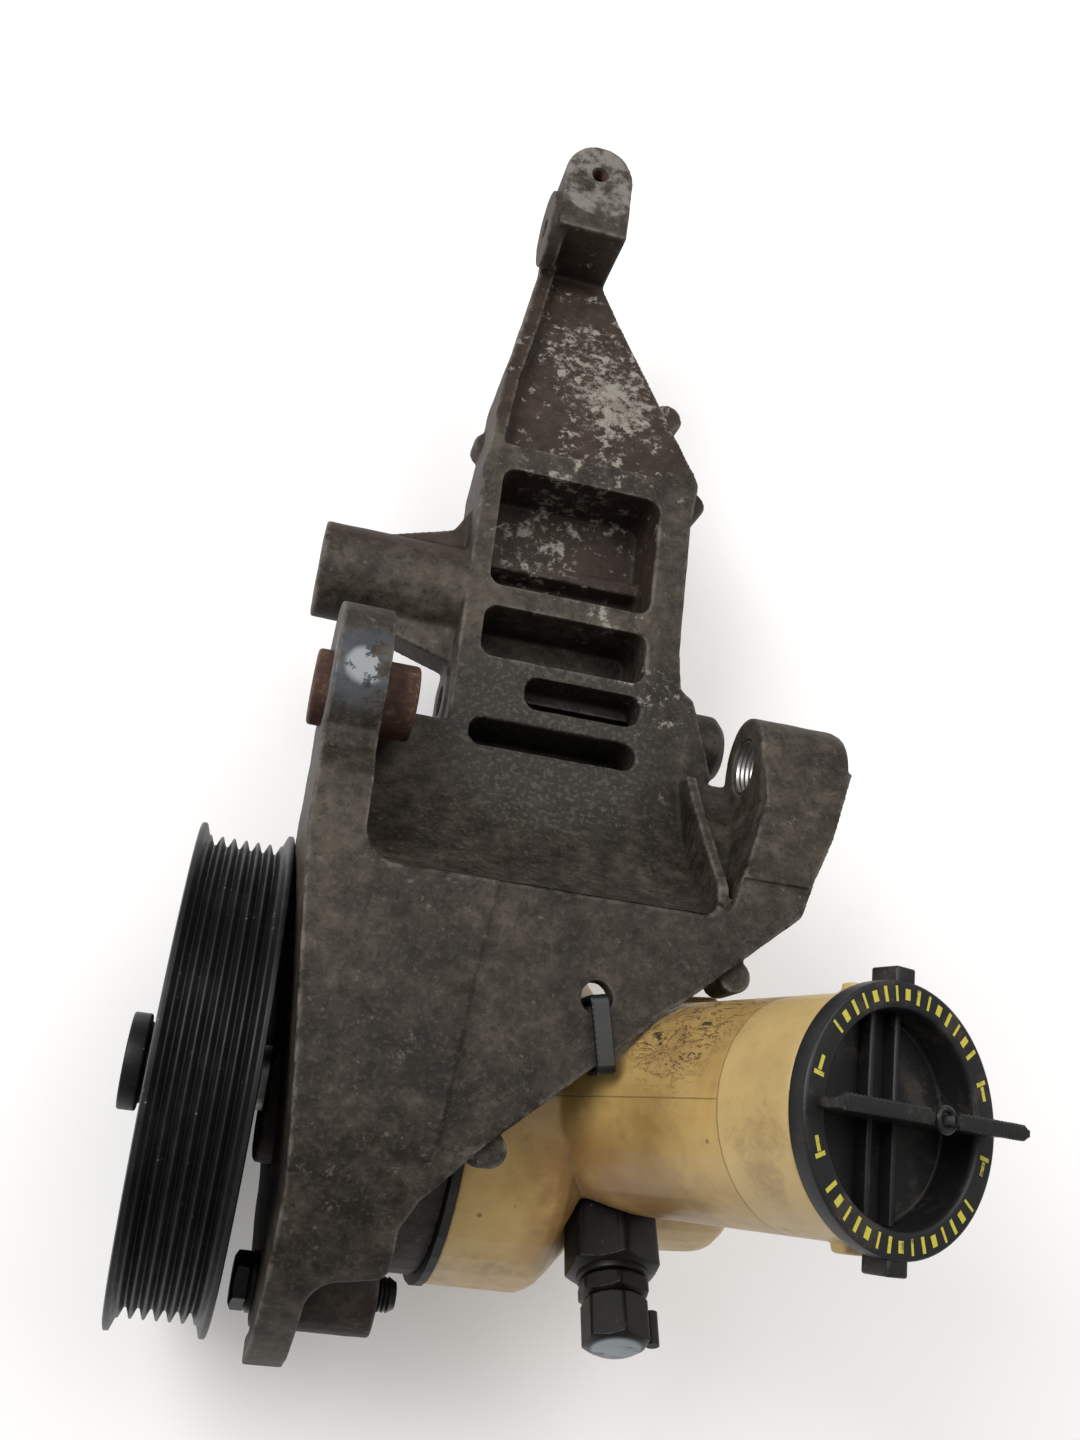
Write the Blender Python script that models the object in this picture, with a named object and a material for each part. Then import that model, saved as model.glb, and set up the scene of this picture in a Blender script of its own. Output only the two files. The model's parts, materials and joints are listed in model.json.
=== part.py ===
"""A power steering pump on its cast accessory bracket, with its reservoir and its grooved belt pulley.

The frame: the shaft runs along +X from the pulley into the pump, +Z is up, and the origin is
the middle of the front face of the pulley's hub. Everything is in metres.
"""

import bpy
import bmesh
from math import asin, cos, degrees, pi, radians, sin, sqrt
from mathutils import Matrix, Vector

MM = 0.001

# Clearances
FIT = 0.3 * MM
SLIDE = 0.35 * MM
OVERSHOOT = 5 * MM
CLOSE = 0.001 * MM

# Shaft, hub and pulley
SHAFT_RADIUS = 9.5 * MM
SHAFT_NARROW_RADIUS = 7.5 * MM
HUB_RADIUS = 14 * MM
HUB_COLLAR_LENGTH = 5.5 * MM
HUB_GROOVE_RADIUS = 11.6 * MM
HUB_GROOVE_LENGTH = 4.5 * MM
HUB_BODY_RADIUS = 16 * MM
HUB_LENGTH = 32 * MM
HUB_EDGE = 1 * MM
PULLEY_MIDDLE = 22.5 * MM
PULLEY_HALF_WIDTH = 14 * MM
PULLEY_FLANGE_RADIUS = 72 * MM
PULLEY_RIDGE_DROP = 3.4 * MM
PULLEY_GROOVES = 6
PULLEY_PITCH = 3.56 * MM
PULLEY_GROOVE_DEPTH = 2.9 * MM
PULLEY_GROOVE_FLOOR = 0.7 * MM
PULLEY_RIDGE_TIP = 0.6 * MM
PULLEY_RIM = 3 * MM
PULLEY_WEB = 3 * MM
PULLEY_WEB_SETBACK = 5 * MM
PULLEY_DISH = 6 * MM
PULLEY_DISH_RADIUS = 34 * MM
PULLEY_SLEEVE = 3 * MM
PULLEY_HOLES = 3
PULLEY_HOLE_RADIUS = 8.5 * MM
PULLEY_HOLE_CIRCLE = 48 * MM

# Front cover of the pump, behind the bracket's wall
WALL_FRONT = 46.5 * MM
WALL_THICKNESS = 11 * MM
NOSE_RADIUS = 24 * MM
NOSE_REACH = 5.5 * MM
COVER_RADIUS = 50 * MM
COVER_LENGTH = 34 * MM
COVER_EDGE = 3 * MM
LUG_RADIUS = 11.5 * MM
LUG_LENGTH = 21.5 * MM
BOLT_COUNT = 3
BOLT_CIRCLE = 58 * MM
BOLT_FIRST_ANGLE = 159.85
SEAL_RADIUS = 17 * MM
SEAL_LENGTH = 7 * MM
BUSH_WALL = 2.5 * MM
BUSH_LENGTH = 24 * MM

# Bolts that hold the pump to the bracket
BOLT_RADIUS = 4.8 * MM
BOLT_HEAD_RADIUS = 8.2 * MM
BOLT_HEX_FLATS = 13.6 * MM
BOLT_HEAD_LENGTH = 6 * MM
BOLT_FLANGE = 1.6 * MM
BOLT_TIP = 6 * MM
SPOT_FACE_GAP = 2.3 * MM

# Pump housing and what turns in it
HOUSING_RADIUS = 40 * MM
HOUSING_PILOT = 11 * MM
HOUSING_BODY_LENGTH = 33.5 * MM
VALVE_BLOCK_RADIUS = 30.5 * MM
HOUSING_LENGTH = 64 * MM
CAVITY_RADIUS = 34 * MM
CAM_LENGTH = 17 * MM
CAM_BORE_LONG = 24.5 * MM
CAM_BORE_SHORT = 22.2 * MM
ROTOR_RADIUS = 20 * MM
VANE_COUNT = 10
VANE_THICKNESS = 2 * MM
VANE_BOTTOM = 12.6 * MM
VANE_TOP = 21.4 * MM
PLATE_LENGTH = 8 * MM
PORT_INNER = 13 * MM
PORT_OUTER = 19 * MM
PORT_DEPTH = 5 * MM
PORT_HALF_ANGLE = 32
DOWEL_RADIUS = 2.5 * MM
DOWEL_CIRCLE = 29.5 * MM
DOWEL_ANGLE = 45
DOWEL_SINK = 4 * MM
SPRING_RADIUS = 20 * MM
SPRING_WIRE = 0.6 * MM
SPRING_LENGTH = 4.5 * MM
SPRING_TURNS = 2

# Flow valve in the housing, with the pressure outlet at its mouth
VALVE_X = 142.8 * MM
VALVE_TILT = 28
VALVE_OFFSET = 12.4 * MM
VALVE_BORE = 8 * MM
VALVE_BORE_BOTTOM = -21 * MM
VALVE_LENGTH = 25 * MM
VALVE_GROOVE = 1.6 * MM
VALVE_SPRING_WIRE = 0.9 * MM
VALVE_SPRING_TURNS = 6
BOSS_RADIUS = 12.5 * MM
BOSS_TOP = 31.5 * MM
UNION_SHANK = 13 * MM
UNION_HEX_FLATS = 24 * MM
UNION_HEX_LENGTH = 20 * MM
UNION_COLLAR_RADIUS = 10 * MM
UNION_COLLAR_LENGTH = 1.6 * MM
SEAL_RING_HEIGHT = 2.4 * MM
ADAPTER_FLATS = 18 * MM
ADAPTER_LENGTH = 5 * MM
PLUG_FLATS = 16.6 * MM
PLUG_LENGTH = 13 * MM
PLUG_CHAMFER = 2.2 * MM
THREAD_RADIUS = 5 * MM
THREAD_LENGTH = 9 * MM
STRAP_STUB_RADIUS = 1.9 * MM
STRAP_STUB_LENGTH = 9 * MM
NUT_CHAMFER = 1.1 * MM
UNION_TURN = 30
ADAPTER_TURN = 36
PLUG_TURN = 30

# Reservoir
BARREL_RADIUS = 52 * MM
BARREL_WALL = 3 * MM
BARREL_LENGTH = 27 * MM
SHOULDER_LENGTH = 18 * MM
WAIST_RADIUS = 37.5 * MM
TAIL_RADIUS = 35 * MM
TAIL_EDGE = 7 * MM
BODY_LENGTH = 89 * MM
RIM_SEAL = 2.4 * MM
RIM_SEAL_LIP = 0.8 * MM
POCKET_RADIUS = 15 * MM
POCKET_FLARE = 2.5 * MM
POCKET_DEPTH = 22 * MM
NECK_X = 149 * MM
NECK_Z = 50 * MM
NECK_Y = 3.1 * MM
NECK_TILT = 19.2
NECK_RADIUS = 28.8 * MM
NECK_WALL = 2.4 * MM
NECK_LUG_REACH = 2.2 * MM
NECK_LUG_WIDTH = 9 * MM
NECK_LUG_HEIGHT = 5 * MM
THROAT_FOOT = 10 * MM
SPIGOT_RADIUS = 8 * MM
SPIGOT_BORE = 5.5 * MM
SPIGOT_LENGTH = 24 * MM
SPIGOT_BEAD = 1.2 * MM
SPIGOT_ANGLE = -32

# Filler cap; heights are measured along the neck from the cap's face
CAP_FACE = 142.3 * MM
CAP_RADIUS = 31 * MM
CAP_FLANGE = 5.5 * MM
CAP_RECESS_RADIUS = 24.3 * MM
CAP_RECESS_DEPTH = 10.5 * MM
CAP_FLOOR = 3 * MM
CAP_EAR_WIDTH = 6.4 * MM
CAP_EAR_REACH = 3.4 * MM
CAP_EAR_LENGTH = 9 * MM
CAP_RIB = 1.8 * MM
CAP_RIB_SPACING = 8.2 * MM
CAP_RIB_HEIGHT = 4 * MM
GRIP_HALF_LENGTH = 27.5 * MM
GRIP_HEIGHT = 12.5 * MM
GRIP_WEB = 2.4 * MM
GRIP_WIDTH = 5.6 * MM
GRIP_LIP = 3.4 * MM
GRIP_NOTCH_HALF = 4.5 * MM
GRIP_NOTCH = 7.5 * MM
GASKET = 1.6 * MM

# Bracket: a top plate that bends down round the pump, and its front wall
PLATE_TOP = 78 * MM
SKIN = 7 * MM
FOOT_ANGLE = 165
DISC_RADIUS = 54 * MM
NOSE_HOLE_GAP = 0.6 * MM
WALL_LEAN_START = -13 * MM
WALL_LEAN_END = 62 * MM
EAR_FRONT = 36.5 * MM
EAR_THICKNESS = 16.5 * MM
PLATE_EDGE_START = (94.2 * MM, -13.1 * MM)
PLATE_EDGE_END = (176 * MM, 57.8 * MM)
FLAP_X = 76.6 * MM
FLAP_Y = -48 * MM
FOOT_INNER = 57.4 * MM

# Bracket: the two ears of the alternator pivot, and the saddle between them
PIVOT_Y = 107.5 * MM
PIVOT_Z = 50 * MM
EAR_RADIUS = 26 * MM
EAR_BUSH_RADIUS = 11.2 * MM
EAR_BUSH_START = 32.5 * MM
EAR_BUSH_LENGTH = 30 * MM
EAR_BUSH_BORE = 5.5 * MM
EAR_BUSH_EDGE = 1.2 * MM
EAR_RAMP_Y = 76 * MM
PIVOT_BOSS_START = 165.5 * MM
PIVOT_BOSS_END = 195 * MM
PIVOT_BOSS_RADIUS = 15.4 * MM
PIVOT_BOSS_EDGE = 4 * MM
PIVOT_THREAD_RADIUS = 7 * MM
INSERT_WALL = 1.4 * MM
SADDLE_RADIUS = 66 * MM
SADDLE_EDGE_Y = 53.96 * MM
SADDLE_BITE = 1.2 * MM
SADDLE_START = 52 * MM
SADDLE_CORNER = 10 * MM
SADDLE_END = 151 * MM
SADDLE_RIB = 3.6 * MM
WING_THICKNESS = 8 * MM
TIE_HOLE_RADIUS = 4.3 * MM
TIE_HOLE_BACK = 14.4 * MM
TIE_HOLE_ALONG = 45.4 * MM
TIE_EDGE_ALONG = 37.4 * MM
TIE_WIDTH = 5 * MM
TIE_THICKNESS = 1.5 * MM
TIE_GAP = 0.6 * MM

# Bracket: the arm
ARM_TOP = 34 * MM
ARM_BOTTOM = 0 * MM
ARM_LEFT = 75 * MM
ARM_RIGHT = 147.5 * MM
ARM_SHOULDER_Y = 200 * MM
ARM_END = 336.6 * MM
TRAY_FLOOR = 4 * MM
TRAY_START = 209 * MM
TRAY_RISE_LEFT = 22 * MM
TRAY_RISE_RIGHT = 31 * MM
TRAY_RIM = 5.5 * MM
RAIL_SLOPE_START = 4 * MM
RAIL_LIFT = 5 * MM
LUG_FRONT_Y = 300 * MM
LUG_LEFT = 89.3 * MM
SIDE_BOSS_X = 86.6 * MM
SIDE_BOSS_RADIUS = 13.5 * MM
SIDE_BOSS_Z = 19.5 * MM
LUG_RIGHT = 114.2 * MM
LUG_HOLE_RADIUS = 3 * MM
LUG_HOLE_SETBACK = 12 * MM
SIDE_HOLE_RADIUS = 3.4 * MM
SIDE_HOLE_DEPTH = 8 * MM
SIDE_HOLE_SETBACK = 7 * MM
POCKET_FLOOR_Z = 9 * MM
POCKET_LEFT = 82 * MM
POCKET_RIGHT = 136 * MM
POCKET_SHALLOW_Z = 19 * MM
POCKET_SHALLOW_LEFT = 98 * MM
POCKET_EDGES = (
    (104.5 * MM, 113.5 * MM),
    (119.5 * MM, 129.5 * MM),
    (134 * MM, 151 * MM),
    (158.5 * MM, 200 * MM),
)
POCKET_CORNER = 4 * MM
CROSS_RIB_Y = 174 * MM
CROSS_RIB_WIDTH = 9 * MM
CROSS_RIB_TOP = 17 * MM
TUBE_Y = 158 * MM
TUBE_Z = 18 * MM
TUBE_RADIUS = 15.6 * MM
TUBE_START = 28.8 * MM
TUBE_BORE = 5.5 * MM
TUBE_BORE_DEPTH = 46 * MM
THROUGH_Y = 122 * MM
THROUGH_Z = 15 * MM
THROUGH_RADIUS = 12 * MM
THROUGH_START = 74 * MM
THROUGH_END = 169 * MM
THROUGH_EDGE = 3.5 * MM
THROUGH_BORE = 5.2 * MM
NUB_RADIUS = 4.6 * MM
PAD_HEIGHT = 12 * MM
PAD_FRONT = (96 * MM, -14 * MM)
PAD_REAR = (158.5 * MM, 39 * MM)

ROUND = 40
SMALL_ROUND = 24
SKIN_STEPS = 12
SHOULDER_STEPS = 5


# Geometry helpers

def arc(centre, radius, start, end, steps):
    """Points of an arc, angles in degrees."""
    turn = (end - start) / steps
    angles = [radians(start + turn * i) for i in range(steps + 1)]
    return [(centre[0] + radius * cos(a), centre[1] + radius * sin(a)) for a in angles]


def rounded_box(low, high, corner, steps=3):
    """A rectangle with round corners, from its lowest and highest corners."""
    points = []
    corners = ((high[0], high[1], 0), (low[0], high[1], 90), (low[0], low[1], 180), (high[0], low[1], 270))
    for x, y, start in corners:
        centre = (x - corner if x == high[0] else x + corner, y - corner if y == high[1] else y + corner)
        points += arc(centre, corner, start, start + 90, steps)
    return points


def hexagon(flats):
    reach = flats / 2 / cos(pi / 6)
    return [(reach * cos(pi / 3 * i), reach * sin(pi / 3 * i)) for i in range(6)]


def make(name, vertices, faces, parent=None):
    """A closed mesh object whose faces point out."""
    mesh = bpy.data.meshes.new(name)
    mesh.from_pydata([Vector(v) for v in vertices], [], faces)
    shape = bmesh.new()
    shape.from_mesh(mesh)
    bmesh.ops.recalc_face_normals(shape, faces=shape.faces)
    if shape.calc_volume(signed=True) < 0:
        bmesh.ops.reverse_faces(shape, faces=shape.faces)
    shape.to_mesh(mesh)
    shape.free()
    result = bpy.data.objects.new(name, mesh)
    bpy.context.scene.collection.objects.link(result)
    result.parent = parent
    return result


def turned(name, profile, parent=None, segments=ROUND):
    """A profile of (distance along +X, radius) points, turned about the X axis.

    A profile that touches the axis starts and ends there; any other is a closed loop.
    """
    vertices = []
    rings = []
    for along, radius in profile:
        if radius == 0:
            rings.append([len(vertices)] * segments)
            vertices.append((along, 0, 0))
            continue
        rings.append(list(range(len(vertices), len(vertices) + segments)))
        for i in range(segments):
            angle = 2 * pi * i / segments
            vertices.append((along, radius * cos(angle), radius * sin(angle)))
    pairs = list(zip(rings, rings[1:]))
    if profile[0][1] > 0:
        pairs.append((rings[-1], rings[0]))
    faces = []
    for near, far in pairs:
        for i in range(segments):
            j = (i + 1) % segments
            corners = [near[i], near[j], far[j], far[i]]
            corners = [c for k, c in enumerate(corners) if c not in corners[:k]]
            if len(corners) > 2:
                faces.append(corners)
    return make(name, vertices, faces, parent)


def prism(name, outline, axis, low, high, parent=None):
    """An outline pushed along X, Y or Z. It is given in the other two axes, in their order."""
    place = {
        "X": lambda a, b, c: (c, a, b),
        "Y": lambda a, b, c: (a, c, b),
        "Z": lambda a, b, c: (a, b, c),
    }[axis]
    count = len(outline)
    vertices = [place(a, b, low) for a, b in outline] + [place(a, b, high) for a, b in outline]
    faces = [list(range(count)), list(range(2 * count - 1, count - 1, -1))]
    faces += [[i, (i + 1) % count, (i + 1) % count + count, i + count] for i in range(count)]
    return make(name, vertices, faces, parent)


def rod(name, centre, radius, low, high, segments=SMALL_ROUND, parent=None):
    """A plain cylinder along X whose axis passes through centre, given as (y, z)."""
    outline = arc(centre, radius, 0, 360 - 360 / segments, segments - 1)
    return prism(name, outline, "X", low, high, parent)


def merge_close(mesh):
    """Joins points closer than a thousandth of a millimetre, which a Boolean can leave behind."""
    shape = bmesh.new()
    shape.from_mesh(mesh)
    bmesh.ops.remove_doubles(shape, verts=shape.verts, dist=CLOSE)
    bmesh.ops.dissolve_degenerate(shape, edges=shape.edges, dist=CLOSE)
    shape.to_mesh(mesh)
    shape.free()


def combine(target, operation, *others):
    """Joins the others to the target, cuts them from it or keeps what they share, and removes them."""
    bpy.context.view_layer.update()
    for other in others:
        modifier = target.modifiers.new(operation, "BOOLEAN")
        modifier.operation = operation
        modifier.solver = "EXACT"
        modifier.object = other
        graph = bpy.context.evaluated_depsgraph_get()
        mesh = bpy.data.meshes.new_from_object(target.evaluated_get(graph))
        target.modifiers.clear()
        merge_close(mesh)
        target.data = mesh
        bpy.data.objects.remove(other)
    return target


def spring(name, radius, wire, start, length, turns, parent):
    """A coil of round wire about X, as a bevelled curve."""
    steps = 16 * turns
    curve = bpy.data.curves.new(name, "CURVE")
    curve.dimensions = "3D"
    curve.bevel_depth = wire
    curve.bevel_resolution = 1
    curve.use_fill_caps = True
    line = curve.splines.new("POLY")
    line.points.add(steps)
    for i in range(steps + 1):
        angle = 2 * pi * turns * i / steps
        along = start + wire + (length - 2 * wire) * i / steps
        line.points[i].co = (along, radius * cos(angle), radius * sin(angle), 1)
    result = bpy.data.objects.new(name, curve)
    bpy.context.scene.collection.objects.link(result)
    result.parent = parent
    return result


def empty(name, matrix):
    result = bpy.data.objects.new(name, None)
    bpy.context.scene.collection.objects.link(result)
    result.matrix_world = matrix
    return result


def axis_frame(point, along, side):
    """A frame whose X runs along the first direction and whose Y is the part of the second across it."""
    x = Vector(along).normalized()
    y = (Vector(side) - Vector(side).dot(x) * x).normalized()
    z = x.cross(y)
    turn = Matrix((x, y, z)).transposed().to_4x4()
    return Matrix.Translation(Vector(point)) @ turn


# Materials

def material(name, colour, roughness, metallic=0.0):
    result = bpy.data.materials.new(name)
    result.use_nodes = True
    shader = result.node_tree.nodes["Principled BSDF"]
    shader.inputs["Base Color"].default_value = (*colour, 1)
    shader.inputs["Roughness"].default_value = roughness
    shader.inputs["Metallic"].default_value = metallic
    result.diffuse_color = (*colour, 1)
    return result


def finish(piece, surface):
    piece.data.materials.clear()
    piece.data.materials.append(surface)
    if piece.type == "MESH":
        piece.data.shade_smooth()
        piece.data.set_sharp_from_angle(angle=radians(35))
    return piece


# Derived places along the shaft

WALL_BACK = WALL_FRONT + WALL_THICKNESS
COVER_FRONT = WALL_BACK + FIT
COVER_BACK = COVER_FRONT + COVER_LENGTH
HOUSING_FRONT = COVER_BACK + FIT
HOUSING_BACK = HOUSING_FRONT + HOUSING_LENGTH
CAM_FRONT = HOUSING_FRONT + FIT
CAM_BACK = CAM_FRONT + CAM_LENGTH
PLATE_FRONT = CAM_BACK + FIT
PLATE_BACK = PLATE_FRONT + PLATE_LENGTH
SPRING_FRONT = PLATE_BACK + FIT
CAVITY_BACK = SPRING_FRONT + SPRING_LENGTH + FIT
SHAFT_END = PLATE_FRONT + PLATE_LENGTH / 2
RIM_FRONT = COVER_BACK + FIT
PULLEY_RIDGE_RADIUS = PULLEY_FLANGE_RADIUS - PULLEY_RIDGE_DROP
RIM_SEAL_RADIUS = BARREL_RADIUS + RIM_SEAL_LIP
SADDLE_Z = ARM_TOP - SADDLE_BITE + SADDLE_RADIUS
SADDLE_Y = SADDLE_EDGE_Y + sqrt(SADDLE_RADIUS ** 2 - (SADDLE_Z - PLATE_TOP) ** 2)
BARREL_FRONT = RIM_FRONT + RIM_SEAL + FIT
TAIL_BACK = BARREL_FRONT + BODY_LENGTH

OUTLET_SEAT = BOSS_TOP + SEAL_RING_HEIGHT + 2 * FIT
POCKET_FLOOR = OUTLET_SEAT - FIT

VALVE_DIRECTION = Vector((0, -cos(radians(VALVE_TILT)), sin(radians(VALVE_TILT))))
VALVE_AWAY = Vector((0, sin(radians(VALVE_TILT)), cos(radians(VALVE_TILT))))
VALVE_FOOT = Vector((VALVE_X, 0, 0)) + VALVE_AWAY * VALVE_OFFSET
NECK_DIRECTION = Vector((sin(radians(NECK_TILT)), 0, cos(radians(NECK_TILT))))
NECK_FOOT = Vector((NECK_X, NECK_Y, NECK_Z)) - NECK_DIRECTION * (NECK_Z / cos(radians(NECK_TILT)))


def bolt_places():
    """The (y, z) places of the bolts round the shaft."""
    angles = [radians(BOLT_FIRST_ANGLE + 360 / BOLT_COUNT * i) for i in range(BOLT_COUNT)]
    return [(BOLT_CIRCLE * cos(a), BOLT_CIRCLE * sin(a)) for a in angles]


# Rotating pieces

def build_shaft(axis, steel):
    profile = [
        (0, 0),
        (0, SHAFT_RADIUS - HUB_EDGE),
        (HUB_EDGE, SHAFT_RADIUS),
        (COVER_BACK - FIT, SHAFT_RADIUS),
        (COVER_BACK - FIT, SHAFT_NARROW_RADIUS),
        (SHAFT_END, SHAFT_NARROW_RADIUS),
        (SHAFT_END, 0),
    ]
    finish(turned("drive_shaft", profile, axis, SMALL_ROUND), steel)


def build_hub(axis, black):
    groove_end = HUB_COLLAR_LENGTH + HUB_GROOVE_LENGTH
    profile = [
        (0, SHAFT_RADIUS + FIT),
        (0, HUB_RADIUS - HUB_EDGE),
        (HUB_EDGE, HUB_RADIUS),
        (HUB_COLLAR_LENGTH - HUB_EDGE / 2, HUB_RADIUS),
        (HUB_COLLAR_LENGTH, HUB_RADIUS - HUB_EDGE / 2),
        (HUB_COLLAR_LENGTH, HUB_GROOVE_RADIUS),
        (groove_end, HUB_GROOVE_RADIUS),
        (groove_end, HUB_BODY_RADIUS),
        (HUB_LENGTH - HUB_EDGE, HUB_BODY_RADIUS),
        (HUB_LENGTH, HUB_BODY_RADIUS - HUB_EDGE),
        (HUB_LENGTH, SHAFT_RADIUS + FIT),
    ]
    finish(turned("pulley_hub", profile, axis, ROUND), black)


def belt_surface():
    """The outer profile of the pulley: two flanges and the ridges between the belt's grooves."""
    front = PULLEY_MIDDLE - PULLEY_HALF_WIDTH
    back = PULLEY_MIDDLE + PULLEY_HALF_WIDTH
    floor = PULLEY_RIDGE_RADIUS - PULLEY_GROOVE_DEPTH
    first = PULLEY_MIDDLE - PULLEY_PITCH * PULLEY_GROOVES / 2
    last = PULLEY_MIDDLE + PULLEY_PITCH * PULLEY_GROOVES / 2
    tip = PULLEY_RIDGE_TIP / 2
    points = [
        (front, PULLEY_FLANGE_RADIUS - 1.2 * MM),
        (front + 0.6 * MM, PULLEY_FLANGE_RADIUS),
        (front + 1.6 * MM, PULLEY_FLANGE_RADIUS),
        (first - tip, PULLEY_RIDGE_RADIUS),
    ]
    for i in range(PULLEY_GROOVES):
        left = first + PULLEY_PITCH * i
        middle = left + PULLEY_PITCH / 2
        points += [
            (left + tip, PULLEY_RIDGE_RADIUS),
            (middle - PULLEY_GROOVE_FLOOR / 2, floor),
            (middle + PULLEY_GROOVE_FLOOR / 2, floor),
            (left + PULLEY_PITCH - tip, PULLEY_RIDGE_RADIUS),
        ]
    points += [
        (last + tip, PULLEY_RIDGE_RADIUS),
        (back - 1.6 * MM, PULLEY_FLANGE_RADIUS),
        (back - 0.6 * MM, PULLEY_FLANGE_RADIUS),
        (back, PULLEY_FLANGE_RADIUS - 1.2 * MM),
    ]
    return points


def build_pulley(axis, black):
    """The belt rim with its dished web and the sleeve that sits on the hub."""
    front = PULLEY_MIDDLE - PULLEY_HALF_WIDTH
    back = PULLEY_MIDDLE + PULLEY_HALF_WIDTH
    rim = PULLEY_RIDGE_RADIUS - PULLEY_GROOVE_DEPTH - PULLEY_RIM
    web = front + PULLEY_WEB_SETBACK
    dish = web + PULLEY_DISH
    sleeve = HUB_BODY_RADIUS + FIT
    profile = belt_surface()
    profile += [
        (back, rim),
        (web + PULLEY_WEB, rim),
        (web + PULLEY_WEB, PULLEY_DISH_RADIUS + PULLEY_DISH),
        (dish + PULLEY_WEB, PULLEY_DISH_RADIUS),
        (dish + PULLEY_WEB, sleeve + PULLEY_SLEEVE),
        (HUB_LENGTH - 2 * HUB_EDGE, sleeve + PULLEY_SLEEVE),
        (HUB_LENGTH - 2 * HUB_EDGE, sleeve),
        (dish, sleeve),
        (dish, PULLEY_DISH_RADIUS),
        (web, PULLEY_DISH_RADIUS + PULLEY_DISH),
        (web, rim),
        (front, rim),
    ]
    pulley = turned("pulley", profile, axis, ROUND)
    for i in range(PULLEY_HOLES):
        angle = 2 * pi * (i + 0.5) / PULLEY_HOLES
        centre = (PULLEY_HOLE_CIRCLE * cos(angle), PULLEY_HOLE_CIRCLE * sin(angle))
        hole = rod("hole", centre, PULLEY_HOLE_RADIUS, web - OVERSHOOT, dish + OVERSHOOT, 16)
        combine(pulley, "DIFFERENCE", hole)
    finish(pulley, black)


def vane_angles():
    return [2 * pi * i / VANE_COUNT for i in range(VANE_COUNT)]


def vane_block(name, angle, bottom, top, thickness, low, high, parent=None):
    """A flat blade that stands on a radius of the shaft."""
    out = (cos(angle), sin(angle))
    side = (-sin(angle) * thickness / 2, cos(angle) * thickness / 2)
    outline = [
        (out[0] * bottom - side[0], out[1] * bottom - side[1]),
        (out[0] * top - side[0], out[1] * top - side[1]),
        (out[0] * top + side[0], out[1] * top + side[1]),
        (out[0] * bottom + side[0], out[1] * bottom + side[1]),
    ]
    return prism(name, outline, "X", low, high, parent)


def build_rotor(axis, steel, bright):
    front = CAM_FRONT + FIT
    back = CAM_BACK - FIT
    bore = SHAFT_NARROW_RADIUS + FIT
    profile = [(front, bore), (front, ROTOR_RADIUS), (back, ROTOR_RADIUS), (back, bore)]
    rotor = turned("rotor", profile, axis, 40)
    slot_bottom = VANE_BOTTOM - FIT
    slot = VANE_THICKNESS + 2 * FIT
    for angle in vane_angles():
        cutter = vane_block(
            "slot", angle, slot_bottom, ROTOR_RADIUS + OVERSHOOT, slot, front - OVERSHOOT, back + OVERSHOOT
        )
        combine(rotor, "DIFFERENCE", cutter)
    finish(rotor, steel)
    for i, angle in enumerate(vane_angles()):
        name = f"vane_{i + 1:02d}"
        finish(vane_block(name, angle, VANE_BOTTOM, VANE_TOP, VANE_THICKNESS, front, back, axis), bright)


# Pieces of the pump that stand still

def dowel_places():
    angles = [radians(DOWEL_ANGLE + 180 * i) for i in range(2)]
    return [(DOWEL_CIRCLE * cos(a), DOWEL_CIRCLE * sin(a)) for a in angles]


def dowel_holes(low, high):
    return [
        rod("dowel hole", place, DOWEL_RADIUS + FIT, low, high, 12) for place in dowel_places()
    ]


def build_cam_ring(axis, steel):
    ring = rod("cam_ring", (0, 0), CAVITY_RADIUS - FIT, CAM_FRONT, CAM_BACK, ROUND, axis)
    bore = []
    for i in range(ROUND):
        angle = 2 * pi * i / ROUND
        mean = (CAM_BORE_LONG + CAM_BORE_SHORT) / 2
        swing = (CAM_BORE_LONG - CAM_BORE_SHORT) / 2
        radius = mean + swing * cos(2 * angle)
        bore.append((radius * cos(angle), radius * sin(angle)))
    cutter = prism("cam bore", bore, "X", CAM_FRONT - OVERSHOOT, CAM_BACK + OVERSHOOT)
    combine(ring, "DIFFERENCE", cutter, *dowel_holes(CAM_FRONT - OVERSHOOT, CAM_BACK + OVERSHOOT))
    finish(ring, steel)


def build_pressure_plate(axis, steel):
    """The plate behind the rotor, with its two curved delivery ports."""
    bore = SHAFT_NARROW_RADIUS + FIT
    outer = CAVITY_RADIUS - FIT
    bottom = SHAFT_END + FIT
    plate = turned("pressure_plate", [(PLATE_BACK, 0), (PLATE_BACK, outer), (PLATE_FRONT, outer),
                                      (PLATE_FRONT, bore), (bottom, bore), (bottom, 0)], axis, ROUND)
    for middle in (90, 270):
        low = middle - PORT_HALF_ANGLE
        high = middle + PORT_HALF_ANGLE
        port = arc((0, 0), PORT_OUTER, low, high, 8) + arc((0, 0), PORT_INNER, high, low, 8)
        cutter = prism("port", port, "X", PLATE_FRONT - OVERSHOOT, PLATE_FRONT + PORT_DEPTH)
        combine(plate, "DIFFERENCE", cutter)
    holes = dowel_holes(PLATE_FRONT - OVERSHOOT, PLATE_BACK + OVERSHOOT)
    combine(plate, "DIFFERENCE", *holes)
    finish(plate, steel)


def build_pressure_spring(axis, steel):
    length = SPRING_LENGTH
    coil = spring("pressure_spring", SPRING_RADIUS, SPRING_WIRE, SPRING_FRONT, length, SPRING_TURNS, axis)
    finish(coil, steel)


def build_dowels(axis, bright):
    for i, place in enumerate(dowel_places()):
        name = f"dowel_pin_{i + 1}"
        low = COVER_BACK - DOWEL_SINK
        finish(rod(name, place, DOWEL_RADIUS, low, PLATE_BACK, 12, axis), bright)


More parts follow.
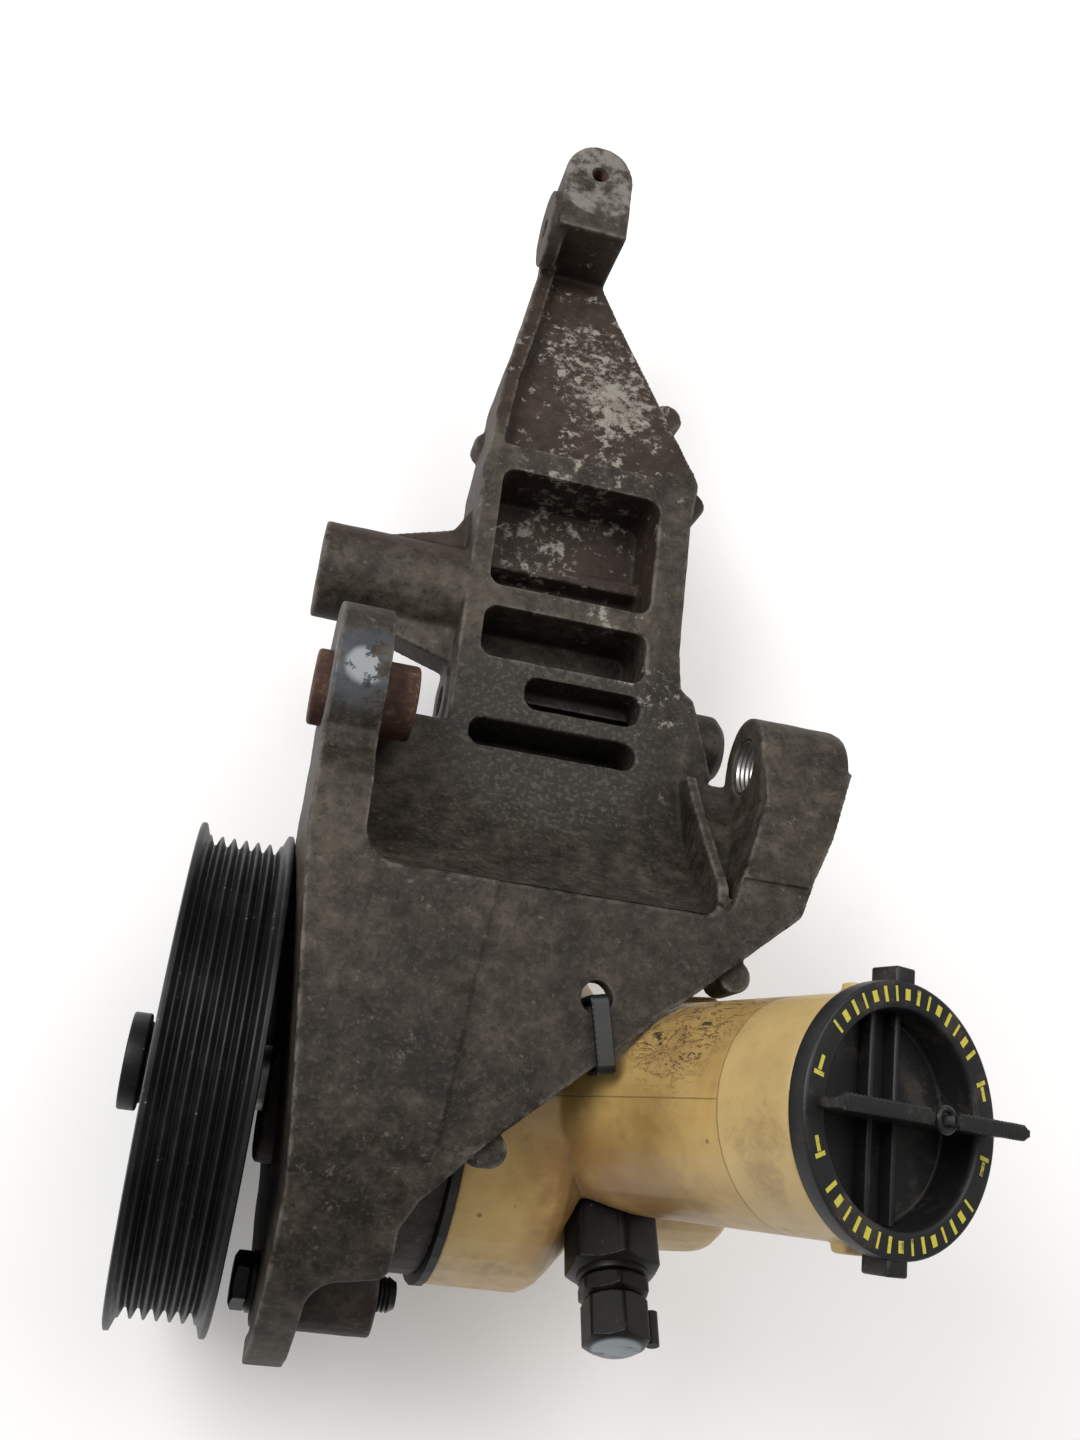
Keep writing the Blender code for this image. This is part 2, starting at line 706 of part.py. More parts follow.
def build_front_cover(axis, cast):
    """The nose with the seal and bush, the round body and the three lugs that the bolts screw into."""
    nose_front = WALL_FRONT - NOSE_REACH
    seal_back = nose_front + SEAL_LENGTH + FIT
    bush_seat = SHAFT_RADIUS + FIT + BUSH_WALL + FIT
    bush_front = COVER_BACK - BUSH_LENGTH - 2 * FIT
    profile = [
        (nose_front, SEAL_RADIUS + FIT),
        (nose_front, NOSE_RADIUS - HUB_EDGE),
        (nose_front + HUB_EDGE, NOSE_RADIUS),
        (COVER_FRONT, NOSE_RADIUS),
        (COVER_FRONT, COVER_RADIUS - COVER_EDGE),
        (COVER_FRONT + COVER_EDGE, COVER_RADIUS),
        (COVER_BACK, COVER_RADIUS),
        (COVER_BACK, bush_seat),
        (bush_front, bush_seat),
        (bush_front, SHAFT_RADIUS + SLIDE),
        (seal_back, SHAFT_RADIUS + SLIDE),
        (seal_back, SEAL_RADIUS + FIT),
    ]
    cover = turned("front_cover", profile, axis, ROUND)
    for place in bolt_places():
        lug_end = COVER_FRONT + LUG_LENGTH
        combine(cover, "UNION", rod("lug", place, LUG_RADIUS, COVER_FRONT, lug_end, SMALL_ROUND))
    for place in bolt_places():
        low = COVER_FRONT - OVERSHOOT
        high = COVER_FRONT + LUG_LENGTH + BOLT_TIP + OVERSHOOT
        combine(cover, "DIFFERENCE", rod("thread", place, BOLT_RADIUS + FIT, low, high, SMALL_ROUND))
    for place in dowel_places():
        low = COVER_BACK - DOWEL_SINK - FIT
        hole = rod("dowel hole", place, DOWEL_RADIUS + FIT, low, COVER_BACK + OVERSHOOT, 12)
        combine(cover, "DIFFERENCE", hole)
    finish(cover, cast)


def build_seal_and_bush(axis, rubber, bronze):
    nose_front = WALL_FRONT - NOSE_REACH
    inner = SHAFT_RADIUS + SLIDE
    seal_back = nose_front + SEAL_LENGTH
    seal = [(nose_front, inner + 3 * MM), (nose_front, SEAL_RADIUS), (seal_back, SEAL_RADIUS),
            (seal_back, inner), (nose_front + SEAL_LENGTH / 2, inner)]
    finish(turned("shaft_seal", seal, axis, 32), rubber)
    back = COVER_BACK - FIT
    bush = [(back - BUSH_LENGTH, inner), (back - BUSH_LENGTH, inner + BUSH_WALL - SLIDE + FIT),
            (back, inner + BUSH_WALL - SLIDE + FIT), (back, inner)]
    finish(turned("shaft_bush", bush, axis, 32), bronze)


def valve_frame():
    return axis_frame(VALVE_FOOT, VALVE_DIRECTION, (1, 0, 0))


def build_housing(axis, valve_axis, cast):
    """The housing behind the cover: a round cavity for the pump's works and a cross bore for the valve."""
    pilot = BARREL_RADIUS - BARREL_WALL - FIT
    pilot_back = BARREL_FRONT + HOUSING_PILOT
    body_back = HOUSING_FRONT + HOUSING_BODY_LENGTH
    profile = [
        (CAVITY_BACK, 0),
        (CAVITY_BACK, CAVITY_RADIUS),
        (HOUSING_FRONT, CAVITY_RADIUS),
        (HOUSING_FRONT, pilot),
        (pilot_back, pilot),
        (pilot_back, HOUSING_RADIUS),
        (body_back - COVER_EDGE, HOUSING_RADIUS),
        (body_back, HOUSING_RADIUS - COVER_EDGE),
        (body_back, VALVE_BLOCK_RADIUS),
        (HOUSING_BACK, VALVE_BLOCK_RADIUS),
        (HOUSING_BACK, 0),
    ]
    housing = turned("pump_housing", profile, axis, ROUND)
    combine(housing, "DIFFERENCE", pocket(BARREL_WALL + 2 * FIT, valve_axis))
    boss = rod("boss", (0, 0), BOSS_RADIUS, 0, BOSS_TOP, SMALL_ROUND, valve_axis)
    combine(housing, "UNION", boss)
    bore = rod("bore", (0, 0), VALVE_BORE, VALVE_BORE_BOTTOM, BOSS_TOP + OVERSHOOT, SMALL_ROUND, valve_axis)
    combine(housing, "DIFFERENCE", bore)
    finish(housing, cast)


def build_flow_valve(valve_axis, bright, spring_steel):
    """The spool and its spring in the housing's cross bore, under the outlet union."""
    top = BOSS_TOP + FIT - UNION_SHANK
    bottom = top - VALVE_LENGTH
    radius = VALVE_BORE - SLIDE
    waist = radius - VALVE_GROOVE
    land = VALVE_LENGTH / 5
    profile = [
        (bottom, 0),
        (bottom, radius),
        (bottom + 2 * land, radius),
        (bottom + 2 * land, waist),
        (bottom + 3 * land, waist),
        (bottom + 3 * land, radius),
        (top, radius),
        (top, 0),
    ]
    finish(turned("flow_valve", profile, valve_axis, SMALL_ROUND), bright)
    start = VALVE_BORE_BOTTOM + FIT
    length = bottom - FIT - start
    coil = VALVE_BORE - SLIDE - VALVE_SPRING_WIRE - FIT
    wound = spring("valve_spring", coil, VALVE_SPRING_WIRE, start, length, VALVE_SPRING_TURNS, valve_axis)
    finish(wound, spring_steel)


def build_outlet(valve_axis, black, rubber):
    """The outlet union, the adapter in it, the blanking plug and the stub of its broken strap."""
    ring_low = BOSS_TOP + FIT
    hex_low = OUTLET_SEAT
    hex_high = hex_low + UNION_HEX_LENGTH
    collar_high = hex_high + UNION_COLLAR_LENGTH
    shank = VALVE_BORE - FIT
    ring_high = ring_low + SEAL_RING_HEIGHT
    outer = BOSS_RADIUS - 1 * MM
    ring = [(ring_low, shank + FIT), (ring_low, outer), (ring_high, outer), (ring_high, shank + FIT)]
    finish(turned("union_seal", ring, valve_axis, SMALL_ROUND), rubber)

    union = turned("outlet_union", [
        (BOSS_TOP + FIT - UNION_SHANK + FIT, 0),
        (BOSS_TOP + FIT - UNION_SHANK + FIT, shank),
        (hex_low + 1 * MM, shank),
        (hex_low + 1 * MM, UNION_COLLAR_RADIUS),
        (collar_high, UNION_COLLAR_RADIUS),
        (collar_high, 0),
    ], valve_axis, SMALL_ROUND)
    nut = hex_nut("hex", UNION_HEX_FLATS, hex_low, hex_high, NUT_CHAMFER, valve_axis, UNION_TURN)
    combine(union, "UNION", nut)
    low = collar_high - THREAD_LENGTH - FIT
    socket = rod("socket", (0, 0), THREAD_RADIUS + FIT, low, collar_high + OVERSHOOT, 16, valve_axis)
    combine(union, "DIFFERENCE", socket)
    finish(union, black)

    adapter_low = collar_high + FIT
    adapter_high = adapter_low + ADAPTER_LENGTH
    flats = ADAPTER_FLATS
    high = adapter_high
    adapter = hex_nut("union_adapter", flats, adapter_low, high, NUT_CHAMFER, valve_axis, ADAPTER_TURN)
    low = adapter_low - THREAD_LENGTH + FIT
    thread = rod("thread", (0, 0), THREAD_RADIUS, low, adapter_low + 1 * MM, 16, valve_axis)
    combine(adapter, "UNION", thread)
    plug_thread = THREAD_RADIUS - 1.5 * MM
    plug_sink = ADAPTER_LENGTH - 2 * MM
    low = adapter_high - plug_sink - FIT
    socket = rod("socket", (0, 0), plug_thread + FIT, low, adapter_high + OVERSHOOT, 16, valve_axis)
    combine(adapter, "DIFFERENCE", socket)
    finish(adapter, black)

    plug_low = adapter_high + FIT
    plug_high = plug_low + PLUG_LENGTH
    plug = hex_nut("blanking_plug", PLUG_FLATS, plug_low, plug_high, PLUG_CHAMFER, valve_axis, PLUG_TURN)
    low = plug_low - plug_sink + FIT
    combine(plug, "UNION", rod("thread", (0, 0), plug_thread, low, plug_low + 1 * MM, 16, valve_axis))
    finish(plug, black)

    side = PLUG_FLATS / 2 + FIT + STRAP_STUB_RADIUS
    low = plug_low + 2 * MM
    stub = rod("plug_strap_stub", (side, 0), STRAP_STUB_RADIUS, low, low + STRAP_STUB_LENGTH, 12, valve_axis)
    finish(stub, rubber)


def hex_nut(name, flats, low, high, chamfer, parent, turn):
    """A hexagonal bar with its outer corners turned off at the far end."""
    angle = radians(turn)
    corners = [
        (x * cos(angle) - y * sin(angle), x * sin(angle) + y * cos(angle)) for x, y in hexagon(flats)
    ]
    bar = prism(name, corners, "X", low, high, parent)
    reach = flats / 2 / cos(pi / 6)
    cone = turned("cone", [
        (low - OVERSHOOT, 0),
        (low - OVERSHOOT, reach * 1.1),
        (high - chamfer / 2 - reach * 0.05, reach * 1.1),
        (high + chamfer / 4, reach - 1.5 * chamfer),
        (high + chamfer / 4, 0),
    ], parent, 36)
    return combine(bar, "INTERSECT", cone)


# Reservoir and cap

def neck_frame():
    return axis_frame(NECK_FOOT, NECK_DIRECTION, (0, 1, 0))


def pocket(grown, parent):
    """The flared hollow of the reservoir round the outlet, wider by what is asked."""
    low = POCKET_FLOOR - grown
    high = POCKET_FLOOR + POCKET_DEPTH
    near = POCKET_RADIUS + grown
    far = POCKET_RADIUS + POCKET_FLARE + grown
    return turned("pocket", [(low, 0), (low, near), (high, far), (high, 0)], parent, 32)


def inset_line(points, distance):
    """A line moved to its right by a distance, each corner along its own bisector."""
    moved = []
    for before, point, after in zip(points, points[1:], points[2:]):
        into = Vector((point[0] - before[0], point[1] - before[1])).normalized()
        away = Vector((after[0] - point[0], after[1] - point[1])).normalized()
        sideways = Vector((into.y + away.y, -into.x - away.x))
        shift = sideways * distance / (1 + into.dot(away))
        moved.append((point[0] + shift.x, point[1] + shift.y))
    return moved


def barrel_profile(inset, front):
    """The outer form of the reservoir's body, or its hollow when inset by the wall."""
    shoulder = BARREL_FRONT + BARREL_LENGTH
    line = [(BARREL_FRONT - OVERSHOOT, BARREL_RADIUS), (BARREL_FRONT, BARREL_RADIUS)]
    for i in range(SHOULDER_STEPS + 1):
        share = i / SHOULDER_STEPS
        radius = WAIST_RADIUS + (BARREL_RADIUS - WAIST_RADIUS) * (1 + cos(pi * share)) / 2
        line.append((shoulder + SHOULDER_LENGTH * share, radius))
    line += arc((TAIL_BACK - TAIL_EDGE, TAIL_RADIUS - TAIL_EDGE), TAIL_EDGE, 90, 0, 3)
    line.append((TAIL_BACK, 0))
    line = inset_line(line, inset)
    return [(front, 0), (front, line[0][1])] + line[1:] + [(TAIL_BACK - inset, 0)]


def build_reservoir(axis, valve_axis, neck_axis, amber):
    """One moulding: the body round the pump, the filler neck, the outlet's pocket and the return spigot."""
    mouth = CAP_FACE - CAP_FLANGE - GASKET - 2 * FIT
    outer = turned("reservoir", barrel_profile(0, BARREL_FRONT), axis, ROUND)
    neck = rod("neck", (0, 0), NECK_RADIUS, 0, mouth, ROUND, neck_axis)
    combine(outer, "UNION", neck)
    combine(outer, "DIFFERENCE", pocket(0, valve_axis))
    for side in (-1, 1):
        near = (NECK_RADIUS - 1 * MM) * side
        far = (NECK_RADIUS + NECK_LUG_REACH) * side
        half = NECK_LUG_WIDTH / 2
        outline = [(near, -half), (far, -half), (far, half), (near, half)]
        lug_high = mouth - NECK_LUG_HEIGHT
        combine(outer, "UNION", prism("lug", outline, "X", lug_high - NECK_LUG_HEIGHT, lug_high, neck_axis))
    spigot_axis = empty("spigot_axis", spigot_frame())
    reach = TAIL_RADIUS + SPIGOT_LENGTH
    spigot = turned("spigot", [
        (0, 0),
        (0, SPIGOT_RADIUS),
        (reach - 5 * MM, SPIGOT_RADIUS),
        (reach - 4.5 * MM, SPIGOT_RADIUS + SPIGOT_BEAD),
        (reach - 3.5 * MM, SPIGOT_RADIUS + SPIGOT_BEAD),
        (reach, SPIGOT_RADIUS - 0.5 * MM),
        (reach, 0),
    ], spigot_axis, SMALL_ROUND)
    combine(outer, "UNION", spigot)

    hollow = turned("hollow", barrel_profile(BARREL_WALL, BARREL_FRONT - OVERSHOOT), axis, ROUND)
    throat = rod("throat", (0, 0), NECK_RADIUS - NECK_WALL, THROAT_FOOT, mouth + OVERSHOOT, ROUND, neck_axis)
    combine(hollow, "UNION", throat)
    combine(hollow, "DIFFERENCE", pocket(BARREL_WALL, valve_axis))
    combine(hollow, "UNION", rod("spigot bore", (0, 0), SPIGOT_BORE, 0, reach + OVERSHOOT, 16, spigot_axis))
    combine(outer, "DIFFERENCE", hollow)
    low = POCKET_FLOOR - BARREL_WALL - 4 * OVERSHOOT
    high = POCKET_FLOOR + OVERSHOOT
    hole = rod("outlet hole", (0, 0), BOSS_RADIUS + FIT, low, high, SMALL_ROUND, valve_axis)
    combine(outer, "DIFFERENCE", hole)
    finish(outer, amber)


def spigot_frame():
    """The return spigot leaves the tail of the reservoir on the side away from the outlet."""
    angle = radians(SPIGOT_ANGLE)
    middle = TAIL_BACK - TAIL_EDGE - SPIGOT_RADIUS
    return axis_frame((middle, 0, 0), (0, cos(angle), sin(angle)), (1, 0, 0))


def build_rim_seal(axis, rubber):
    inner = BARREL_RADIUS - BARREL_WALL
    back = RIM_FRONT + RIM_SEAL
    profile = [(RIM_FRONT, inner), (RIM_FRONT, RIM_SEAL_RADIUS), (back, RIM_SEAL_RADIUS), (back, inner)]
    finish(turned("reservoir_seal", profile, axis, ROUND), rubber)


def build_cap(neck_axis, black, rubber):
    """The cap: a flanged cup with ears, two ribs across its floor and a winged grip."""
    plug_radius = NECK_RADIUS - NECK_WALL - SLIDE
    under = CAP_FACE - CAP_FLANGE
    floor = CAP_FACE - CAP_RECESS_DEPTH
    cap = turned("filler_cap", [
        (floor - CAP_FLOOR, 0),
        (floor - CAP_FLOOR, plug_radius),
        (under, plug_radius),
        (under, CAP_RADIUS),
        (CAP_FACE - 1 * MM, CAP_RADIUS),
        (CAP_FACE, CAP_RADIUS - 1 * MM),
        (CAP_FACE, CAP_RECESS_RADIUS),
        (floor, CAP_RECESS_RADIUS),
        (floor, 0),
    ], neck_axis, ROUND)
    half = CAP_EAR_WIDTH / 2
    for side in (-1, 1):
        near = (NECK_RADIUS + FIT) * side
        far = (CAP_RADIUS + CAP_EAR_REACH) * side
        outline = [(near, -half), (far, -half), (far, half), (near, half)]
        ear = prism("ear", outline, "X", CAP_FACE - CAP_EAR_LENGTH, CAP_FACE - 0.5 * MM, neck_axis)
        combine(cap, "UNION", ear)
    for side in (-1, 1):
        reach = sqrt(CAP_RECESS_RADIUS ** 2 - (CAP_RIB_SPACING / 2) ** 2) + 1 * MM
        near = CAP_RIB_SPACING / 2 * side - CAP_RIB / 2
        far = near + CAP_RIB
        outline = [(-reach, near), (reach, near), (reach, far), (-reach, far)]
        rib = prism("rib", outline, "X", floor - 1 * MM, floor + CAP_RIB_HEIGHT, neck_axis)
        combine(cap, "UNION", rib)
    combine(cap, "UNION", *grip(neck_axis, floor))
    finish(cap, black)
    rim_inner = NECK_RADIUS - NECK_WALL
    low = under - FIT - GASKET
    gasket = [(low, rim_inner), (low, NECK_RADIUS), (under - FIT, NECK_RADIUS), (under - FIT, rim_inner)]
    finish(turned("cap_gasket", gasket, neck_axis, ROUND), rubber)


def grip(neck_axis, floor):
    """The upright web of the grip, and the lip along the top of each wing."""
    top = CAP_FACE + GRIP_HEIGHT
    inside = CAP_RECESS_RADIUS + 1 * MM
    side_view = [
        (floor - 1 * MM, -inside),
        (CAP_FACE - 1 * MM, -inside),
        (CAP_FACE - 0.5 * MM, -GRIP_HALF_LENGTH),
        (top, -GRIP_HALF_LENGTH),
        (top, -GRIP_NOTCH_HALF),
        (top - GRIP_NOTCH, -GRIP_NOTCH_HALF / 2),
        (top - GRIP_NOTCH, GRIP_NOTCH_HALF / 2),
        (top, GRIP_NOTCH_HALF),
        (top, GRIP_HALF_LENGTH),
        (CAP_FACE - 0.5 * MM, GRIP_HALF_LENGTH),
        (CAP_FACE - 1 * MM, inside),
        (floor - 1 * MM, inside),
    ]
    pieces = [prism("web", side_view, "Y", -GRIP_WEB / 2, GRIP_WEB / 2, neck_axis)]
    for side in (-1, 1):
        near = GRIP_NOTCH_HALF * side
        far = (GRIP_HALF_LENGTH + 0.5 * MM) * side
        outline = [(top - GRIP_LIP, near), (top, near), (top, far), (top - GRIP_LIP, far)]
        pieces.append(prism("lip", outline, "Y", -GRIP_WIDTH / 2, GRIP_WIDTH / 2, neck_axis))
    return pieces


# Bracket

def wall_outline():
    """The slab that the front wall lies in, seen from above: it leans forward to the ear."""
    low = -PLATE_TOP - OVERSHOOT
    high = PIVOT_Y + EAR_RADIUS + OVERSHOOT
    ear_back = EAR_FRONT + EAR_THICKNESS
    return [
        (WALL_FRONT, low),
        (WALL_BACK, low),
        (WALL_BACK, WALL_LEAN_END - 14 * MM),
        (ear_back, WALL_LEAN_END),
        (ear_back, high),
        (EAR_FRONT, high),
        (EAR_FRONT, WALL_LEAN_END),
        (WALL_FRONT - 1.5 * MM, WALL_LEAN_START),
        (WALL_FRONT, WALL_LEAN_START - 15 * MM),
    ]


def build_wall():
    """The front wall: a disc round the shaft with three bolt bosses, an arch above it and the ear."""
    low = EAR_FRONT - OVERSHOOT
    high = WALL_BACK + OVERSHOOT
    wall = rod("wall", (0, 0), DISC_RADIUS, low, high, ROUND)
    for place in bolt_places():
        combine(wall, "UNION", rod("boss", place, LUG_RADIUS, low, high, SMALL_ROUND))
    arch = arc((0, 0), PLATE_TOP, FOOT_ANGLE, 90, SKIN_STEPS)
    arch += [
        (EAR_RAMP_Y, PLATE_TOP),
        (PIVOT_Y - EAR_RADIUS * 0.72, PIVOT_Z + EAR_RADIUS * 0.72),
        (PIVOT_Y, PIVOT_Z),
        (PIVOT_Y - EAR_RADIUS * 0.6, PIVOT_Z - EAR_RADIUS * 0.8),
        (DISC_RADIUS * cos(radians(20)), DISC_RADIUS * sin(radians(20))),
        (0, 0),
        (-BOLT_CIRCLE, PLATE_TOP * 0.3),
        (-PLATE_TOP * 0.85, PLATE_TOP * 0.42),
        ((PLATE_TOP - SKIN) * cos(radians(FOOT_ANGLE)), (PLATE_TOP - SKIN) * sin(radians(FOOT_ANGLE))),
    ]
    combine(wall, "UNION", prism("arch", arch, "X", low, high))
    combine(wall, "UNION", rod("ear", (PIVOT_Y, PIVOT_Z), EAR_RADIUS, low, high, 40))
    slab = prism("slab", wall_outline(), "Z", -PLATE_TOP - OVERSHOOT, PLATE_TOP + OVERSHOOT)
    return combine(wall, "INTERSECT", slab)


def plate_outline():
    """The top plate and the skin round the pump, seen from above."""
    edge_x = PLATE_EDGE_START[0]
    edge_y = PLATE_EDGE_START[1]
    low = -PLATE_TOP - OVERSHOOT
    fillet = arc((FOOT_INNER + 8 * MM, FLAP_Y - 9.5 * MM), 8 * MM, 180, 90, 5)
    return [
        (WALL_FRONT, low),
        (FOOT_INNER, low),
        *fillet,
        (FLAP_X - 2 * MM, FLAP_Y),
        (FLAP_X, FLAP_Y + 2 * MM),
        (FLAP_X, edge_y - 22 * MM),
        (edge_x - 14 * MM, edge_y - 15 * MM),
        (edge_x - 6 * MM, edge_y - 6.5 * MM),
        (edge_x, edge_y),
        PLATE_EDGE_END,
        (PLATE_EDGE_END[0] + 3.5 * MM, PLATE_EDGE_END[1] + 10 * MM),
        (PIVOT_BOSS_END - 8 * MM, PIVOT_Y - 24 * MM),
        (PIVOT_BOSS_END, PIVOT_Y - 1 * MM),
        (PIVOT_BOSS_START + 1 * MM, PIVOT_Y - 1 * MM),
        (PIVOT_BOSS_START + 1 * MM, PIVOT_Y - PIVOT_BOSS_RADIUS),
        (SADDLE_END + SADDLE_RIB, SADDLE_EDGE_Y + 2 * MM),
        (SADDLE_END - 8 * MM, SADDLE_EDGE_Y + 8 * MM),
        (SADDLE_START + 2 * SADDLE_CORNER, SADDLE_EDGE_Y + 2 * SADDLE_CORNER),
        (SADDLE_START + 3 * MM, PIVOT_Y - 1 * MM),
        (EAR_FRONT, PIVOT_Y - 1 * MM),
        (EAR_FRONT, WALL_LEAN_END),
        (WALL_FRONT - 1.5 * MM, WALL_LEAN_START),
        (WALL_FRONT, WALL_LEAN_START - 15 * MM),
    ]


def build_plate():
    """The flat top, its bend down round the pump, and the slope down to the boss of the pivot."""
    low = EAR_FRONT - OVERSHOOT
    high = PIVOT_BOSS_END + OVERSHOOT
    saddle_edge = SADDLE_Y - sqrt(SADDLE_RADIUS ** 2 - (SADDLE_Z - PLATE_TOP) ** 2)
    outer = arc((0, 0), PLATE_TOP, FOOT_ANGLE, 90, SKIN_STEPS)
    inner = arc((0, 0), PLATE_TOP - SKIN, 90, FOOT_ANGLE, SKIN_STEPS)
    boss_top = PIVOT_Z + PIVOT_BOSS_RADIUS
    profile = outer + [
        (saddle_edge + 7 * MM, PLATE_TOP),
        (PIVOT_Y, boss_top),
        (PIVOT_Y, boss_top - WING_THICKNESS),
        (saddle_edge + 5 * MM, PLATE_TOP - SKIN),
    ] + inner
    plate = prism("plate", profile, "X", low, high)
    slab = prism("slab", plate_outline(), "Z", -PLATE_TOP - OVERSHOOT, PLATE_TOP + OVERSHOOT)
    combine(plate, "INTERSECT", slab)
    top = PLATE_TOP - SKIN / 2
    for x, y in (PAD_FRONT, PAD_REAR):
        pad = arc((x, y), NUB_RADIUS, 0, 345, 15)
        combine(plate, "UNION", prism("pad", pad, "Z", PLATE_TOP - SKIN - PAD_HEIGHT, top))
    return plate


def saddle_angles():
    """Where the saddle's hollow meets the plate and the arm, in degrees round its own axis."""
    top = 180 + degrees(asin((SADDLE_Z - PLATE_TOP) / SADDLE_RADIUS))
    bottom = 180 + degrees(asin((SADDLE_Z - ARM_TOP) / SADDLE_RADIUS))
    return top, bottom


def build_saddle():
    """The curved skin between the plate and the arm, under the alternator."""
    top, bottom = saddle_angles()
    centre = (SADDLE_Y, SADDLE_Z)
    shell = arc(centre, SADDLE_RADIUS - 1 * MM, top, bottom + 6, 12)
    shell += arc(centre, SADDLE_RADIUS + SKIN, bottom + 6, top - 2, 12)
    return prism("saddle", shell, "X", EAR_FRONT + 2 * MM, SADDLE_END + SADDLE_RIB)


def saddle_cutter():
    """What the alternator's round body sweeps out, between the ear and the rib, with round corners."""
    outline = arc((SADDLE_Y, SADDLE_Z), SADDLE_RADIUS, 0, 360 - 360 / 72, 71)
    sweep = prism("sweep", outline, "X", SADDLE_START, SADDLE_END)
    edge = SADDLE_Y - sqrt(SADDLE_RADIUS ** 2 - (SADDLE_Z - PLATE_TOP) ** 2)
    far = SADDLE_Y + SADDLE_RADIUS + OVERSHOOT
    corner = SADDLE_CORNER
    box = arc((SADDLE_START + corner, edge + corner), corner, 180, 270, 5)
    box += arc((SADDLE_END - corner / 2, edge + corner / 2), corner / 2, 270, 360, 4)
    box += [(SADDLE_END, far), (SADDLE_START, far)]
    low = SADDLE_Z - SADDLE_RADIUS - OVERSHOOT
    high = SADDLE_Z + SADDLE_RADIUS + OVERSHOOT
    return combine(sweep, "INTERSECT", prism("box", box, "Z", low, high))


def build_rib_and_wing():
    """The rib at the end of the saddle and the web from it to the boss of the pivot."""
    top, bottom = saddle_angles()
    boss_top = PIVOT_Z + PIVOT_BOSS_RADIUS
    saddle_edge = SADDLE_Y - sqrt(SADDLE_RADIUS ** 2 - (SADDLE_Z - PLATE_TOP) ** 2)
    rib_outline = arc((SADDLE_Y, SADDLE_Z), SADDLE_RADIUS + SKIN / 2, top, bottom, 10)
    rib_outline += [
        (SADDLE_Y - 12 * MM, ARM_TOP + 6 * MM),
        (PIVOT_Y - PIVOT_BOSS_RADIUS, PIVOT_Z),
        (saddle_edge + 9 * MM, PLATE_TOP - 2 * MM),
    ]
    rib = prism("rib", rib_outline, "X", SADDLE_END, SADDLE_END + SADDLE_RIB)
    web_outline = [
        (saddle_edge + 4 * MM, PLATE_TOP - SKIN + 1 * MM),
        (PIVOT_Y, boss_top - 1 * MM),
        (PIVOT_Y, PIVOT_Z - PIVOT_BOSS_RADIUS + 2 * MM),
        (PIVOT_Y - PIVOT_BOSS_RADIUS, ARM_TOP - 6 * MM),
        (SADDLE_Y - SADDLE_RADIUS * 0.55, SADDLE_Z - SADDLE_RADIUS * 0.86),
    ]
    web = prism("web", web_outline, "X", SADDLE_END, PIVOT_BOSS_START + 8 * MM)
    floor_outline = [
        (saddle_edge + 9 * MM, PLATE_TOP - 12 * MM),
        (PIVOT_Y - PIVOT_BOSS_RADIUS, PIVOT_Z - 5 * MM),
        (SADDLE_Y - 12 * MM, ARM_TOP + 1 * MM),
        (SADDLE_Y - 14 * MM, ARM_TOP - 6 * MM),
        (PIVOT_Y - PIVOT_BOSS_RADIUS, ARM_TOP - 6 * MM),
        (SADDLE_Y - SADDLE_RADIUS * 0.55, SADDLE_Z - SADDLE_RADIUS * 0.86),
    ]
    floor = prism("floor", floor_outline, "X", SADDLE_END + 1 * MM, PIVOT_BOSS_START + 2 * MM)
    half = PIVOT_BOSS_RADIUS
    trim = [
        (SADDLE_END - 1 * MM, saddle_edge - 1 * MM),
        (SADDLE_END + SADDLE_RIB, saddle_edge + 2 * MM),
        (PIVOT_BOSS_START, PIVOT_Y - half),
        (PIVOT_BOSS_START, PIVOT_Y + half),
        (PIVOT_BOSS_START + 8 * MM, PIVOT_Y + half),
        (PIVOT_BOSS_START + 8 * MM, saddle_edge),
        (SADDLE_END + 10 * MM, saddle_edge - 1 * MM),
    ]
    combine(web, "INTERSECT", prism("trim", trim, "Z", 0, PLATE_TOP + OVERSHOOT))
    boss = turned("pivot boss", [
        (PIVOT_BOSS_START, 0),
        (PIVOT_BOSS_START, PIVOT_BOSS_RADIUS),
        (PIVOT_BOSS_END - PIVOT_BOSS_EDGE, PIVOT_BOSS_RADIUS),
        (PIVOT_BOSS_END - PIVOT_BOSS_EDGE / 4, PIVOT_BOSS_RADIUS - PIVOT_BOSS_EDGE / 4),
        (PIVOT_BOSS_END, PIVOT_BOSS_RADIUS - PIVOT_BOSS_EDGE),
        (PIVOT_BOSS_END, 0),
    ], None, 32)
    boss.location = (0, PIVOT_Y, PIVOT_Z)
    return [rib, web, floor, boss]


